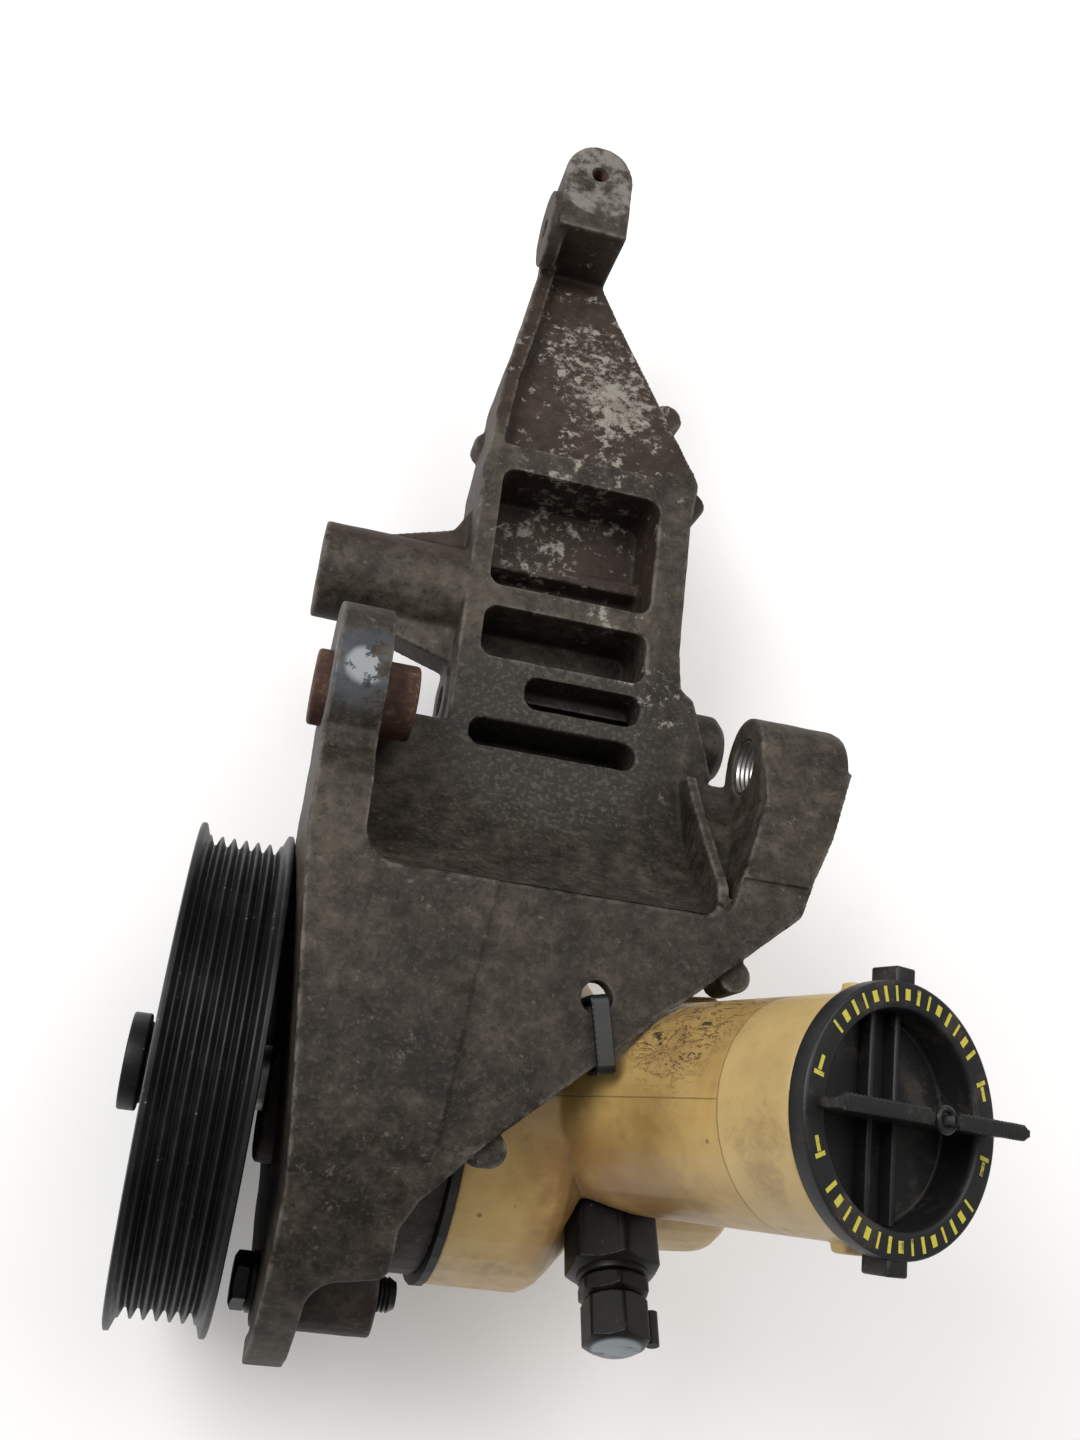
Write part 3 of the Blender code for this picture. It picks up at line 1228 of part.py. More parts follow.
def arm_outline():
    """The arm from above: square where it carries the pockets, then narrowing to the top lug."""
    corner_y = SADDLE_Y - 17.2 * MM
    lug_radius = (LUG_RIGHT - LUG_LEFT) / 2
    return [
        (ARM_LEFT, SADDLE_Y - 20 * MM),
        (ARM_RIGHT - 9 * MM, SADDLE_Y - 16 * MM),
        (ARM_RIGHT - 2 * MM, corner_y),
        (ARM_RIGHT + 10.5 * MM, corner_y),
        (ARM_RIGHT + 14 * MM, THROUGH_Y - THROUGH_RADIUS - 3 * MM),
        (ARM_RIGHT + 6 * MM, THROUGH_Y + THROUGH_RADIUS - 2 * MM),
        (ARM_RIGHT + 1.5 * MM, THROUGH_Y + THROUGH_RADIUS + 1 * MM),
        (ARM_RIGHT, THROUGH_Y + THROUGH_RADIUS + 14 * MM),
        (ARM_RIGHT, ARM_SHOULDER_Y - 6 * MM),
        (ARM_RIGHT + 1.5 * MM, ARM_SHOULDER_Y + 9 * MM),
        (LUG_RIGHT, LUG_FRONT_Y),
        (LUG_RIGHT, ARM_END - lug_radius),
        (LUG_LEFT, ARM_END - lug_radius),
        (LUG_LEFT, LUG_FRONT_Y),
        (ARM_LEFT + 8.5 * MM, ARM_SHOULDER_Y + 64 * MM),
        (ARM_LEFT + 3.5 * MM, ARM_SHOULDER_Y + 39 * MM),
        (ARM_LEFT, ARM_SHOULDER_Y),
    ]


def build_arm():
    """The arm with its bosses, side webs and top lug, before its pockets and holes are cut."""
    lug_radius = (LUG_RIGHT - LUG_LEFT) / 2
    arm = prism("arm", arm_outline(), "Z", ARM_BOTTOM, ARM_TOP)
    over_rail = [
        (TRAY_START + RAIL_SLOPE_START, ARM_TOP),
        (LUG_FRONT_Y, TRAY_FLOOR + RAIL_LIFT),
        (LUG_FRONT_Y, ARM_TOP + OVERSHOOT),
        (TRAY_START + RAIL_SLOPE_START, ARM_TOP + OVERSHOOT),
    ]
    low = ARM_LEFT - OVERSHOOT
    combine(arm, "DIFFERENCE", prism("over rail", over_rail, "X", low, ARM_RIGHT + 5 * MM))
    lug_middle = (LUG_LEFT + LUG_RIGHT) / 2
    head = arc((lug_middle, ARM_END - lug_radius), lug_radius, -20, 200, 14)
    combine(arm, "UNION", prism("head", head, "Z", ARM_BOTTOM, ARM_TOP))
    side_boss = (LUG_FRONT_Y + SIDE_HOLE_SETBACK, SIDE_BOSS_Z)
    boss = rod("side boss", side_boss, SIDE_BOSS_RADIUS, SIDE_BOSS_X, LUG_LEFT + 3 * MM, SMALL_ROUND)
    combine(arm, "UNION", boss)
    tube = rod("tube", (TUBE_Y, TUBE_Z), TUBE_RADIUS, TUBE_START, ARM_LEFT + 4 * MM, 32)
    through = turned("through boss", [
        (THROUGH_START, 0),
        (THROUGH_START, THROUGH_RADIUS),
        (THROUGH_END - THROUGH_EDGE, THROUGH_RADIUS),
        (THROUGH_END, THROUGH_RADIUS - THROUGH_EDGE),
        (THROUGH_END, 0),
    ], None, 32)
    through.location = (0, THROUGH_Y, THROUGH_Z)
    lower_web = [
        (TUBE_START + 14 * MM, TUBE_Y - TUBE_RADIUS + 1 * MM),
        (TUBE_START + 30 * MM, TUBE_Y - TUBE_RADIUS - 5.5 * MM),
        (ARM_LEFT + 2 * MM, TUBE_Y - TUBE_RADIUS - 11 * MM),
        (ARM_LEFT + 2 * MM, TUBE_Y),
        (TUBE_START + 14 * MM, TUBE_Y),
    ]
    upper_web = [
        (TUBE_START + 18 * MM, TUBE_Y + TUBE_RADIUS - 1 * MM),
        (TUBE_START + 31 * MM, TUBE_Y + TUBE_RADIUS + 3 * MM),
        (TUBE_START + 41 * MM, TUBE_Y + TUBE_RADIUS + 6 * MM),
        (ARM_LEFT + 1 * MM, TUBE_Y + TUBE_RADIUS + 17 * MM),
        (ARM_LEFT + 2 * MM, TUBE_Y),
        (TUBE_START + 18 * MM, TUBE_Y),
    ]
    webs = [
        prism("lower web", lower_web, "Z", TUBE_Z - 7 * MM, TUBE_Z + 7 * MM),
        prism("upper web", upper_web, "Z", TUBE_Z - 7 * MM, TUBE_Z + 4 * MM),
    ]
    combine(arm, "UNION", tube, through, *webs)
    for nub in arm_nubs():
        combine(arm, "UNION", nub)
    return arm


def arm_nubs():
    """The small round pads that stand out of the arm's edges."""
    places = (
        (ARM_LEFT + 3.5 * MM, ARM_SHOULDER_Y + 21 * MM, NUB_RADIUS, 9 * MM),
        (ARM_RIGHT + 1.5 * MM, ARM_SHOULDER_Y + 5 * MM, NUB_RADIUS, 28 * MM),
        (ARM_RIGHT - 8 * MM, ARM_SHOULDER_Y + 41 * MM, NUB_RADIUS * 1.2, 20 * MM),
    )
    for x, y, radius, top in places:
        yield prism("nub", arc((x, y), radius, 0, 345, 15), "Z", ARM_BOTTOM, top)


def pocket_cutters():
    """Four pockets between cross bars, the hollow tray above them and the sunken web up to the lug."""
    for i, (low, high) in enumerate(POCKET_EDGES):
        shallow = i == 1
        left = POCKET_SHALLOW_LEFT if shallow else POCKET_LEFT
        floor = POCKET_SHALLOW_Z if shallow else POCKET_FLOOR_Z
        outline = rounded_box((left, low), (POCKET_RIGHT, high), min(POCKET_CORNER, (high - low) / 2.2))
        cutter = prism("pocket", outline, "Z", floor, ARM_TOP + OVERSHOOT)
        if i == 3:
            rib = [
                (CROSS_RIB_Y - CROSS_RIB_WIDTH / 2, POCKET_FLOOR_Z - OVERSHOOT),
                (CROSS_RIB_Y - CROSS_RIB_WIDTH / 4, CROSS_RIB_TOP),
                (CROSS_RIB_Y + CROSS_RIB_WIDTH / 4, CROSS_RIB_TOP),
                (CROSS_RIB_Y + CROSS_RIB_WIDTH / 2, POCKET_FLOOR_Z - OVERSHOOT),
            ]
            bar = prism("rib", rib, "X", POCKET_LEFT - OVERSHOOT, POCKET_RIGHT + OVERSHOOT)
            combine(cutter, "DIFFERENCE", bar)
        yield cutter
    yield tray_cutter()


def tray_cutter():
    """What is cut above the web between the pockets and the lug. Its floor falls towards the lug."""
    slope_left = TRAY_RISE_LEFT / (LUG_FRONT_Y - TRAY_START)
    slope_right = TRAY_RISE_RIGHT / (LUG_FRONT_Y - TRAY_START)
    outline = [
        (ARM_LEFT + TRAY_RIM, TRAY_START),
        (ARM_RIGHT + OVERSHOOT, TRAY_START),
        (LUG_RIGHT + 3 * OVERSHOOT, LUG_FRONT_Y),
        (LUG_LEFT + TRAY_RIM, LUG_FRONT_Y),
        (ARM_LEFT + 8.5 * MM + TRAY_RIM, ARM_SHOULDER_Y + 64 * MM),
        (ARM_LEFT + 3.5 * MM + TRAY_RIM, ARM_SHOULDER_Y + 39 * MM),
    ]
    count = len(outline)
    vertices = []
    for x, y in outline:
        share = min(1, max(0, (x - ARM_LEFT) / (ARM_RIGHT - ARM_LEFT)))
        slope = slope_left + (slope_right - slope_left) * share
        vertices.append((x, y, TRAY_FLOOR + slope * (LUG_FRONT_Y - y)))
    vertices += [(x, y, ARM_TOP + OVERSHOOT) for x, y in outline]
    middle = len(vertices)
    vertices.append(tuple(sum(v[i] for v in vertices[:count]) / count for i in range(3)))
    faces = [[i, (i + 1) % count, middle] for i in range(count)]
    faces.append(list(range(count, 2 * count)))
    faces += [[i, (i + 1) % count, (i + 1) % count + count, i + count] for i in range(count)]
    return make("tray", vertices, faces)


def bracket_holes(neck_axis):
    """Every drilled, cored and clearance hole of the bracket."""
    low = EAR_FRONT - OVERSHOOT
    high = WALL_BACK + OVERSHOOT
    yield rod("nose hole", (0, 0), NOSE_RADIUS + NOSE_HOLE_GAP, low, high, ROUND)
    for place in bolt_places():
        yield rod("bolt hole", place, BOLT_RADIUS + 0.5 * MM, low, high, SMALL_ROUND)
        yield rod("spot face", place, BOLT_HEAD_RADIUS + SPOT_FACE_GAP, low, WALL_FRONT, SMALL_ROUND)
    yield rod("ear hole", (PIVOT_Y, PIVOT_Z), EAR_BUSH_RADIUS + FIT, low, high, 32)
    yield rod("pivot thread", (PIVOT_Y, PIVOT_Z), PIVOT_THREAD_RADIUS + INSERT_WALL + FIT,
              PIVOT_BOSS_START - OVERSHOOT, PIVOT_BOSS_END + OVERSHOOT, SMALL_ROUND)
    yield rod("tube bore", (TUBE_Y, TUBE_Z), TUBE_BORE, TUBE_START - OVERSHOOT,
              TUBE_START + TUBE_BORE_DEPTH, 16)
    yield rod("through bore", (THROUGH_Y, THROUGH_Z), THROUGH_BORE, THROUGH_START - OVERSHOOT,
              THROUGH_END + OVERSHOOT, 16)
    middle = (LUG_LEFT + LUG_RIGHT) / 2
    lug_hole_y = ARM_END - LUG_HOLE_SETBACK
    yield prism("lug hole", arc((middle, lug_hole_y), LUG_HOLE_RADIUS, 0, 337.5, 15), "Z",
                ARM_BOTTOM - OVERSHOOT, ARM_TOP + OVERSHOOT)
    side_hole = (LUG_FRONT_Y + SIDE_HOLE_SETBACK, SIDE_BOSS_Z)
    yield rod("side hole", side_hole, SIDE_HOLE_RADIUS, SIDE_BOSS_X - OVERSHOOT,
              SIDE_BOSS_X + SIDE_HOLE_DEPTH, 16)
    tie_hole = arc(tie_hole_place(), TIE_HOLE_RADIUS, 0, 345, 23)
    yield prism("tie hole", tie_hole, "Z", PLATE_TOP - SKIN - OVERSHOOT, PLATE_TOP + OVERSHOOT)
    yield rod("neck room", (0, 0), NECK_RADIUS + 1.2 * MM, HOUSING_RADIUS, CAP_FACE, ROUND, neck_axis)


def plate_edge_frame():
    """The plate's slanting edge: its start, its direction and the direction out of the plate."""
    along = Vector((PLATE_EDGE_END[0] - PLATE_EDGE_START[0], PLATE_EDGE_END[1] - PLATE_EDGE_START[1]))
    along.normalize()
    return Vector(PLATE_EDGE_START), along, Vector((along.y, -along.x))


def tie_hole_place():
    start, along, out = plate_edge_frame()
    return start + along * TIE_HOLE_ALONG - out * TIE_HOLE_BACK


def build_bracket(neck_axis, cast):
    bracket = build_plate()
    combine(bracket, "UNION", build_wall(), build_saddle(), *build_rib_and_wing(), build_arm())
    combine(bracket, "DIFFERENCE", saddle_cutter())
    combine(bracket, "DIFFERENCE", *pocket_cutters())
    combine(bracket, "DIFFERENCE", *bracket_holes(neck_axis))
    bracket.name = "bracket"
    finish(bracket, cast)


def build_pivot_pieces(rust, steel):
    """The bush that floats in the ear and the threaded insert in the boss."""
    end = EAR_BUSH_START + EAR_BUSH_LENGTH
    bush = turned("pivot_bush", [
        (EAR_BUSH_START, EAR_BUSH_BORE),
        (EAR_BUSH_START, EAR_BUSH_RADIUS - EAR_BUSH_EDGE),
        (EAR_BUSH_START + EAR_BUSH_EDGE, EAR_BUSH_RADIUS),
        (end - EAR_BUSH_EDGE, EAR_BUSH_RADIUS),
        (end, EAR_BUSH_RADIUS - EAR_BUSH_EDGE),
        (end, EAR_BUSH_BORE),
    ], None, 32)
    bush.location = (0, PIVOT_Y, PIVOT_Z)
    finish(bush, rust)
    low = PIVOT_BOSS_START + 0.5 * MM
    insert = turned("thread_insert", [
        (low, PIVOT_THREAD_RADIUS),
        (low, PIVOT_THREAD_RADIUS + INSERT_WALL),
        (PIVOT_BOSS_END - 0.5 * MM, PIVOT_THREAD_RADIUS + INSERT_WALL),
        (PIVOT_BOSS_END - 0.5 * MM, PIVOT_THREAD_RADIUS),
    ], None, SMALL_ROUND)
    insert.location = (0, PIVOT_Y, PIVOT_Z)
    finish(insert, steel)


def build_bolts(steel):
    """Flanged hexagon bolts through the front wall into the lugs of the cover."""
    head_front = WALL_FRONT - FIT - BOLT_HEAD_LENGTH
    tip = COVER_FRONT + LUG_LENGTH + BOLT_TIP
    for i, (y, z) in enumerate(bolt_places()):
        bolt = turned(f"pump_bolt_{i + 1}", [
            (head_front + BOLT_HEAD_LENGTH - BOLT_FLANGE, 0),
            (head_front + BOLT_HEAD_LENGTH - BOLT_FLANGE, BOLT_HEAD_RADIUS),
            (head_front + BOLT_HEAD_LENGTH, BOLT_HEAD_RADIUS),
            (head_front + BOLT_HEAD_LENGTH, BOLT_RADIUS),
            (tip - 1 * MM, BOLT_RADIUS),
            (tip, BOLT_RADIUS - 1 * MM),
            (tip, 0),
        ], None, SMALL_ROUND)
        head_back = head_front + BOLT_HEAD_LENGTH - 0.5 * MM
        combine(bolt, "UNION", prism("head", hexagon(BOLT_HEX_FLATS), "X", head_front, head_back))
        bolt.location = (0, y, z)
        finish(bolt, steel)


def build_cable_tie(black):
    """A band through the hole in the plate and askew round its slanting edge, drawn in its own section."""
    start, along, out = plate_edge_frame()
    hole = tie_hole_place()
    edge = start + along * TIE_EDGE_ALONG
    direction = (edge - hole).normalized()
    lean = TIE_WIDTH / 2 * abs(direction.dot(along)) / direction.dot(out)
    inner_low = PLATE_TOP - SKIN - TIE_GAP
    inner_high = PLATE_TOP + TIE_GAP
    near = TIE_THICKNESS / 2 - (edge - hole).length
    far = lean + TIE_GAP
    inner = rounded_box((near, inner_low), (far, inner_high), 1 * MM)
    outer = rounded_box((near - TIE_THICKNESS, inner_low - TIE_THICKNESS),
                        (far + TIE_THICKNESS, inner_high + TIE_THICKNESS), 2 * MM)
    matrix = axis_frame((edge.x, edge.y, 0), (direction.x, direction.y, 0), (-direction.y, direction.x, 0))
    tie_axis = empty("tie_axis", matrix)
    band = prism("cable_tie", outer, "Y", -TIE_WIDTH / 2, TIE_WIDTH / 2, tie_axis)
    combine(band, "DIFFERENCE", prism("inside", inner, "Y", -TIE_WIDTH, TIE_WIDTH, tie_axis))
    finish(band, black)


def main():
    for old in list(bpy.data.objects):
        bpy.data.objects.remove(old)
    cast_grey = material("cast_bracket", (0.091, 0.078, 0.063), 0.75, 0.35)
    cast_brown = material("cast_pump", (0.075, 0.055, 0.042), 0.7, 0.3)
    pulley_black = material("pulley_black", (0.022, 0.024, 0.026), 0.45, 0.3)
    black_steel = material("black_steel", (0.02, 0.019, 0.018), 0.4, 0.5)
    steel = material("bright_steel", (0.55, 0.55, 0.54), 0.3, 1.0)
    ground_steel = material("ground_steel", (0.62, 0.61, 0.6), 0.25, 1.0)
    spring_steel = material("spring_steel", (0.4, 0.4, 0.42), 0.35, 1.0)
    bronze = material("bronze", (0.5, 0.32, 0.13), 0.4, 1.0)
    rust = material("rusty_steel", (0.11, 0.045, 0.025), 0.8, 0.3)
    rubber = material("black_rubber", (0.015, 0.015, 0.015), 0.8)
    amber = material("amber_plastic", (0.58, 0.37, 0.13), 0.45)
    cap_black = material("cap_plastic", (0.018, 0.019, 0.02), 0.5)
    tie_black = material("tie_plastic", (0.01, 0.012, 0.014), 0.25)

    shaft_axis = empty("shaft_axis", Matrix.Identity(4))
    valve_axis = empty("valve_axis", valve_frame())
    neck_axis = empty("neck_axis", neck_frame())
    bpy.context.view_layer.update()

    build_shaft(shaft_axis, steel)
    build_hub(shaft_axis, pulley_black)
    build_pulley(shaft_axis, pulley_black)
    build_rotor(shaft_axis, ground_steel, steel)
    build_cam_ring(shaft_axis, ground_steel)
    build_pressure_plate(shaft_axis, steel)
    build_dowels(shaft_axis, steel)
    build_pressure_spring(shaft_axis, spring_steel)
    build_front_cover(shaft_axis, cast_brown)
    build_seal_and_bush(shaft_axis, rubber, bronze)
    build_housing(shaft_axis, valve_axis, cast_brown)
    build_flow_valve(valve_axis, steel, spring_steel)
    build_outlet(valve_axis, black_steel, rubber)
    build_reservoir(shaft_axis, valve_axis, neck_axis, amber)
    build_rim_seal(shaft_axis, rubber)
    build_cap(neck_axis, cap_black, rubber)
    build_bracket(neck_axis, cast_grey)
    build_pivot_pieces(rust, steel)
    build_bolts(black_steel)
    build_cable_tie(tie_black)


main()
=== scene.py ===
"""Looks of a used power steering pump on its cast bracket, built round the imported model.

Metres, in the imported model's frame: +X runs along the shaft from the pulley into the pump, +Z is
up and the arm of the bracket runs along +Y. Every new surface is worked out here with numpy, and
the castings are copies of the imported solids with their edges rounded.
"""

import json
from math import pi, radians

import bmesh
import bpy
import numpy as np
from mathutils import Euler, Matrix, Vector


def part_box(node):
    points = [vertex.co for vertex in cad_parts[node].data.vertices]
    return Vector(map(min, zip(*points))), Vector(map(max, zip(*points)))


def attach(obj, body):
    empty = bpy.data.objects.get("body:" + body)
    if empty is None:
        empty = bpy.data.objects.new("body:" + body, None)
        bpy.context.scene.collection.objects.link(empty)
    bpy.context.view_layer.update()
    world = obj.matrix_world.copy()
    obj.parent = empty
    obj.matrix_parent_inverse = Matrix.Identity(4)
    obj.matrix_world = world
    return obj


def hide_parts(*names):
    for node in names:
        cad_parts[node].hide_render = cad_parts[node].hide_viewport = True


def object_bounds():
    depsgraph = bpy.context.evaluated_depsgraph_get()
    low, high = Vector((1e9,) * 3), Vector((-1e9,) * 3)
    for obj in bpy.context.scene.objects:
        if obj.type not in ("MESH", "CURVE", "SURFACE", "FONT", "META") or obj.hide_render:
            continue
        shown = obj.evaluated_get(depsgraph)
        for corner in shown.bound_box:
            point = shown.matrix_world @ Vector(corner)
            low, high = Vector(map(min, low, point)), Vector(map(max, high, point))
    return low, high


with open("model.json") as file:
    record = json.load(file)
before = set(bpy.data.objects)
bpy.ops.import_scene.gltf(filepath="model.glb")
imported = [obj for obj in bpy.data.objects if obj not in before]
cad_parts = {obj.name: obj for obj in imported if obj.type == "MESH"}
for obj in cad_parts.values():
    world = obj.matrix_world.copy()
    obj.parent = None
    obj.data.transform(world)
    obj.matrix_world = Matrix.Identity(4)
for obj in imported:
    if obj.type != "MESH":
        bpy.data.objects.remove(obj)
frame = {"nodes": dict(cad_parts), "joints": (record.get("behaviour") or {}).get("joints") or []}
cad_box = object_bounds()

MM = 0.001

# The camera of the photograph, above the pump and a little in front of it
CAMERA_PLACE = (0.0208, -0.0214, 0.4302)
CAMERA_TURN = (17.2, -13.97, 6.75)
CAMERA_LENS = 34.25
FLOOR_DROP = 1.5 * MM

# Sizes that the solids share with the finer surfaces
PULLEY_PITCH = 3.56 * MM
PULLEY_GROOVES = 6
PULLEY_RIDGE = 3.4 * MM
PULLEY_GROOVE_DEPTH = 2.9 * MM
PULLEY_RIM = 3 * MM
PULLEY_WEB = 3 * MM
PULLEY_WEB_SETBACK = 5 * MM
PULLEY_DISH = 6 * MM
PULLEY_DISH_RADIUS = 34 * MM
PULLEY_SLEEVE = 3 * MM
PULLEY_HOLES = 3
PULLEY_HOLE_RADIUS = 8.5 * MM
PULLEY_HOLE_CIRCLE = 48 * MM
CAP_FLANGE = 5.5 * MM
CAP_RECESS_RADIUS = 24.3 * MM
CAP_RECESS_DEPTH = 10.5 * MM
CAP_CUP_RADIUS = 26.05 * MM
CAP_CUP_DEPTH = 13.5 * MM
CAP_RIB_SPACING = 8.2 * MM
GRIP_HEIGHT = 12.5 * MM
GRIP_HALF_LENGTH = 27.5 * MM
GRIP_NEAR_EXTRA = 3.5 * MM
PLATE_TOP = 78 * MM
PLATE_STEP = 0.75 * MM
PLATE_STEP_WIDTH = 1.6 * MM

# The dark, middle and pale tones of the two castings
BRACKET_TONES = (0.0085, 0.0064, 0.0044), (0.031, 0.0242, 0.0172), (0.076, 0.063, 0.047)
PUMP_TONES = (0.009, 0.006, 0.0045), (0.022, 0.0155, 0.0115), (0.052, 0.041, 0.031)

# Cell sizes of the softened copies, and how many triangles they may keep
CASTING_CELL = 0.7 * MM
MOULDING_CELL = 0.65 * MM
TIE_CELL = 0.3 * MM
BRACKET_TRIANGLES = 188000
COVER_TRIANGLES = 150000
MOULDING_TRIANGLES = 180000

# Where oil has run on the neck, and the middle of the end lug's top
OILY_PLACE = (0.149, 0.021, 0.088)
LUG_TOP = (0.10175, 0.3246, 0.034)
LUG_HOLE_FLOOR = 8 * MM

# The small lug beside the neck, from above, as X and Y in millimetres
SIDE_LUG = [(143, 20), (160, 20), (163.5, 31), (160, 35.5), (146, 34)]

# The parting line on the plate's top, as X and Y in millimetres
PLATE_LINE = [(89.2, 56), (89.2, 52.6), (86.4, 32.5), (82.2, -13.1), (52.6, -43.2)]


# Mesh helpers

def unit(vector):
    vector = np.asarray(vector, float)
    return vector / np.linalg.norm(vector)


def frame_on(point, along, side):
    """A 4 by 4 array: X runs along the first direction, Y is the part of the second across it."""
    x = unit(along)
    y = unit(np.asarray(side, float) - np.dot(side, x) * x)
    result = np.eye(4)
    result[:3, 0] = x
    result[:3, 1] = y
    result[:3, 2] = np.cross(x, y)
    result[:3, 3] = point
    return result


def grid_faces(rows, columns, loop_rows, loop_columns):
    """The four corners of every cell of a grid of points, row by row."""
    i = np.arange(rows if loop_rows else rows - 1)[:, None]
    j = np.arange(columns if loop_columns else columns - 1)[None, :]
    below = (i + 1) % rows
    beside = (j + 1) % columns
    corners = [i * columns + j, i * columns + beside, below * columns + beside, below * columns + j]
    return np.stack(np.broadcast_arrays(*corners), -1).reshape(-1, 4)


def surface(name, grid, place=None, loop_rows=False, loop_columns=True):
    """A mesh over a grid of points given in a local frame. Points that meet are merged."""
    rows, columns = grid.shape[:2]
    points = grid.reshape(-1, 3)
    if place is not None:
        points = points @ place[:3, :3].T + place[:3, 3]
    mesh = bpy.data.meshes.new(name)
    mesh.from_pydata(points.tolist(), [], grid_faces(rows, columns, loop_rows, loop_columns).tolist())
    return close_up(name, mesh)


def close_up(name, mesh):
    """Merges points that meet, turns the faces outwards and shades the mesh by its angles."""
    shape = bmesh.new()
    shape.from_mesh(mesh)
    bmesh.ops.remove_doubles(shape, verts=shape.verts, dist=0.002 * MM)
    bmesh.ops.recalc_face_normals(shape, faces=shape.faces)
    if shape.calc_volume(signed=True) < 0:
        bmesh.ops.reverse_faces(shape, faces=shape.faces)
    shape.to_mesh(mesh)
    shape.free()
    mesh.shade_smooth()
    mesh.set_sharp_from_angle(angle=radians(40))
    piece = bpy.data.objects.new(name, mesh)
    bpy.context.scene.collection.objects.link(piece)
    return piece


def rounded(profile, radius, steps=4, closed=False):
    """A line whose corners become curves (1-t)^2 a + 2t(1-t) corner + t^2 b between its two sides."""
    corner = np.asarray(profile, float)
    before = np.roll(corner, 1, 0) - corner
    after = np.roll(corner, -1, 0) - corner
    t = np.linspace(0, 1, steps + 1)[None, :, None]

    def start(side):
        length = np.linalg.norm(side, axis=1, keepdims=True) + 1e-12
        return corner + side / length * np.minimum(radius, 0.45 * length)

    curve = (1 - t) ** 2 * start(before)[:, None] + 2 * t * (1 - t) * corner[:, None]
    curve = curve + t ** 2 * start(after)[:, None]
    if not closed:
        curve = curve[1:-1]
        return np.vstack([corner[:1], curve.reshape(-1, 2), corner[-1:]])
    return curve.reshape(-1, 2)


def turned(name, profile, place=None, segments=160, closed=False):
    """A line of (along, radius) points carried round the X axis: (a, r cos t, r sin t)."""
    angle = np.linspace(0, 2 * pi, segments, endpoint=False)[None, :]
    along = profile[:, :1]
    radius = profile[:, 1:]
    grid = np.stack(np.broadcast_arrays(along, radius * np.cos(angle), radius * np.sin(angle)), -1)
    return surface(name, grid, place, loop_rows=closed)


def prism(name, outline, low, high, place=None, bevel=0.0):
    """A flat outline in Y and Z pushed along X, with its edges rounded by a bevel."""
    outline = np.asarray(outline, float)
    middle = outline.mean(0)
    rings = [(low, 0), (low, 1), (high, 1), (high, 0)]
    rows = []
    for along, share in rings:
        ring = middle + (outline - middle) * share
        rows.append(np.column_stack([np.full(len(ring), along), ring]))
    piece = surface(name, np.array(rows), place)
    if bevel:
        modifier = piece.modifiers.new("edges", "BEVEL")
        modifier.width = bevel
        modifier.segments = 3
        modifier.limit_method = "ANGLE"
        modifier.angle_limit = radians(35)
        modifier.harden_normals = False
        bake(piece)
    return piece


def bake(piece):
    """Applies the piece's modifiers to its mesh."""
    graph = bpy.context.evaluated_depsgraph_get()
    mesh = bpy.data.meshes.new_from_object(piece.evaluated_get(graph))
    piece.modifiers.clear()
    piece.data = mesh
    mesh.shade_smooth()
    mesh.set_sharp_from_angle(angle=radians(40))
    return piece


def hexagon_radius(angle, flats, turn, cap):
    """How far a hexagon's side lies from its axis at each angle; its corners are capped."""
    folded = (angle - radians(turn)) % (pi / 3) - pi / 6
    return np.minimum(flats / 2 / np.cos(folded), flats / 2 * cap)


def nut(name, low, high, flats, turn, place, chamfer, foot=0.3 * MM):
    """A hexagonal bar between two cones: its radius is the smallest of the hexagon and the cones."""
    angle = np.linspace(0, 2 * pi, 180, endpoint=False)[None, :]
    side = hexagon_radius(angle, flats, turn, 1.135)
    reach = flats / 2 * 1.1547
    along = np.concatenate([[low, low], low + foot * np.linspace(0.3, 3, 6),
                            np.linspace(high - chamfer, high, 12), [high + 0.05 * MM, high + 0.05 * MM]])
    bottom = flats / 2 * 0.97 + (along - low) * 1.7
    top = reach - 1.9 * (along - high + chamfer * 0.75)
    radius = np.minimum(side, np.minimum(bottom, top)[:, None])
    radius[0] = 0
    radius[-1] = 0
    grid = np.broadcast_arrays(along[:, None], radius * np.cos(angle), radius * np.sin(angle))
    return surface(name, np.stack(grid, -1), place)


def vertex_values(mesh, what):
    values = np.zeros(len(mesh.vertices) * 3, np.float32)
    mesh.vertices.foreach_get(what, values)
    return values.reshape(-1, 3).astype(float)


def softened(name, node, cell, rounds):
    """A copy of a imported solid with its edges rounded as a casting's or a moulding's are.

    It is cut into even cells, and each point then moves towards the mean of its neighbours.
    """
    mesh = frame["nodes"][node].data.copy()
    shape = bmesh.new()
    shape.from_mesh(mesh)
    bmesh.ops.remove_doubles(shape, verts=shape.verts, dist=0.001 * MM)
    shape.to_mesh(mesh)
    shape.free()
    piece = bpy.data.objects.new(name, mesh)
    bpy.context.scene.collection.objects.link(piece)
    cells = piece.modifiers.new("cells", "REMESH")
    cells.mode = "VOXEL"
    cells.voxel_size = cell
    cells.use_smooth_shade = True
    smooth = piece.modifiers.new("smooth", "SMOOTH")
    smooth.factor = 0.5
    smooth.iterations = rounds
    graph = bpy.context.evaluated_depsgraph_get()
    piece.data = bpy.data.meshes.new_from_object(piece.evaluated_get(graph))
    piece.modifiers.clear()
    piece.data.materials.clear()
    piece.data.shade_smooth()
    return piece


def thinned(piece, triangles):
    """Joins the points of the flattest places until few enough triangles are left."""
    now = sum(len(face.vertices) - 2 for face in piece.data.polygons)
    modifier = piece.modifiers.new("fewer", "DECIMATE")
    modifier.ratio = min(1, triangles / now)
    bake(piece)
    piece.data.shade_smooth()
    return piece


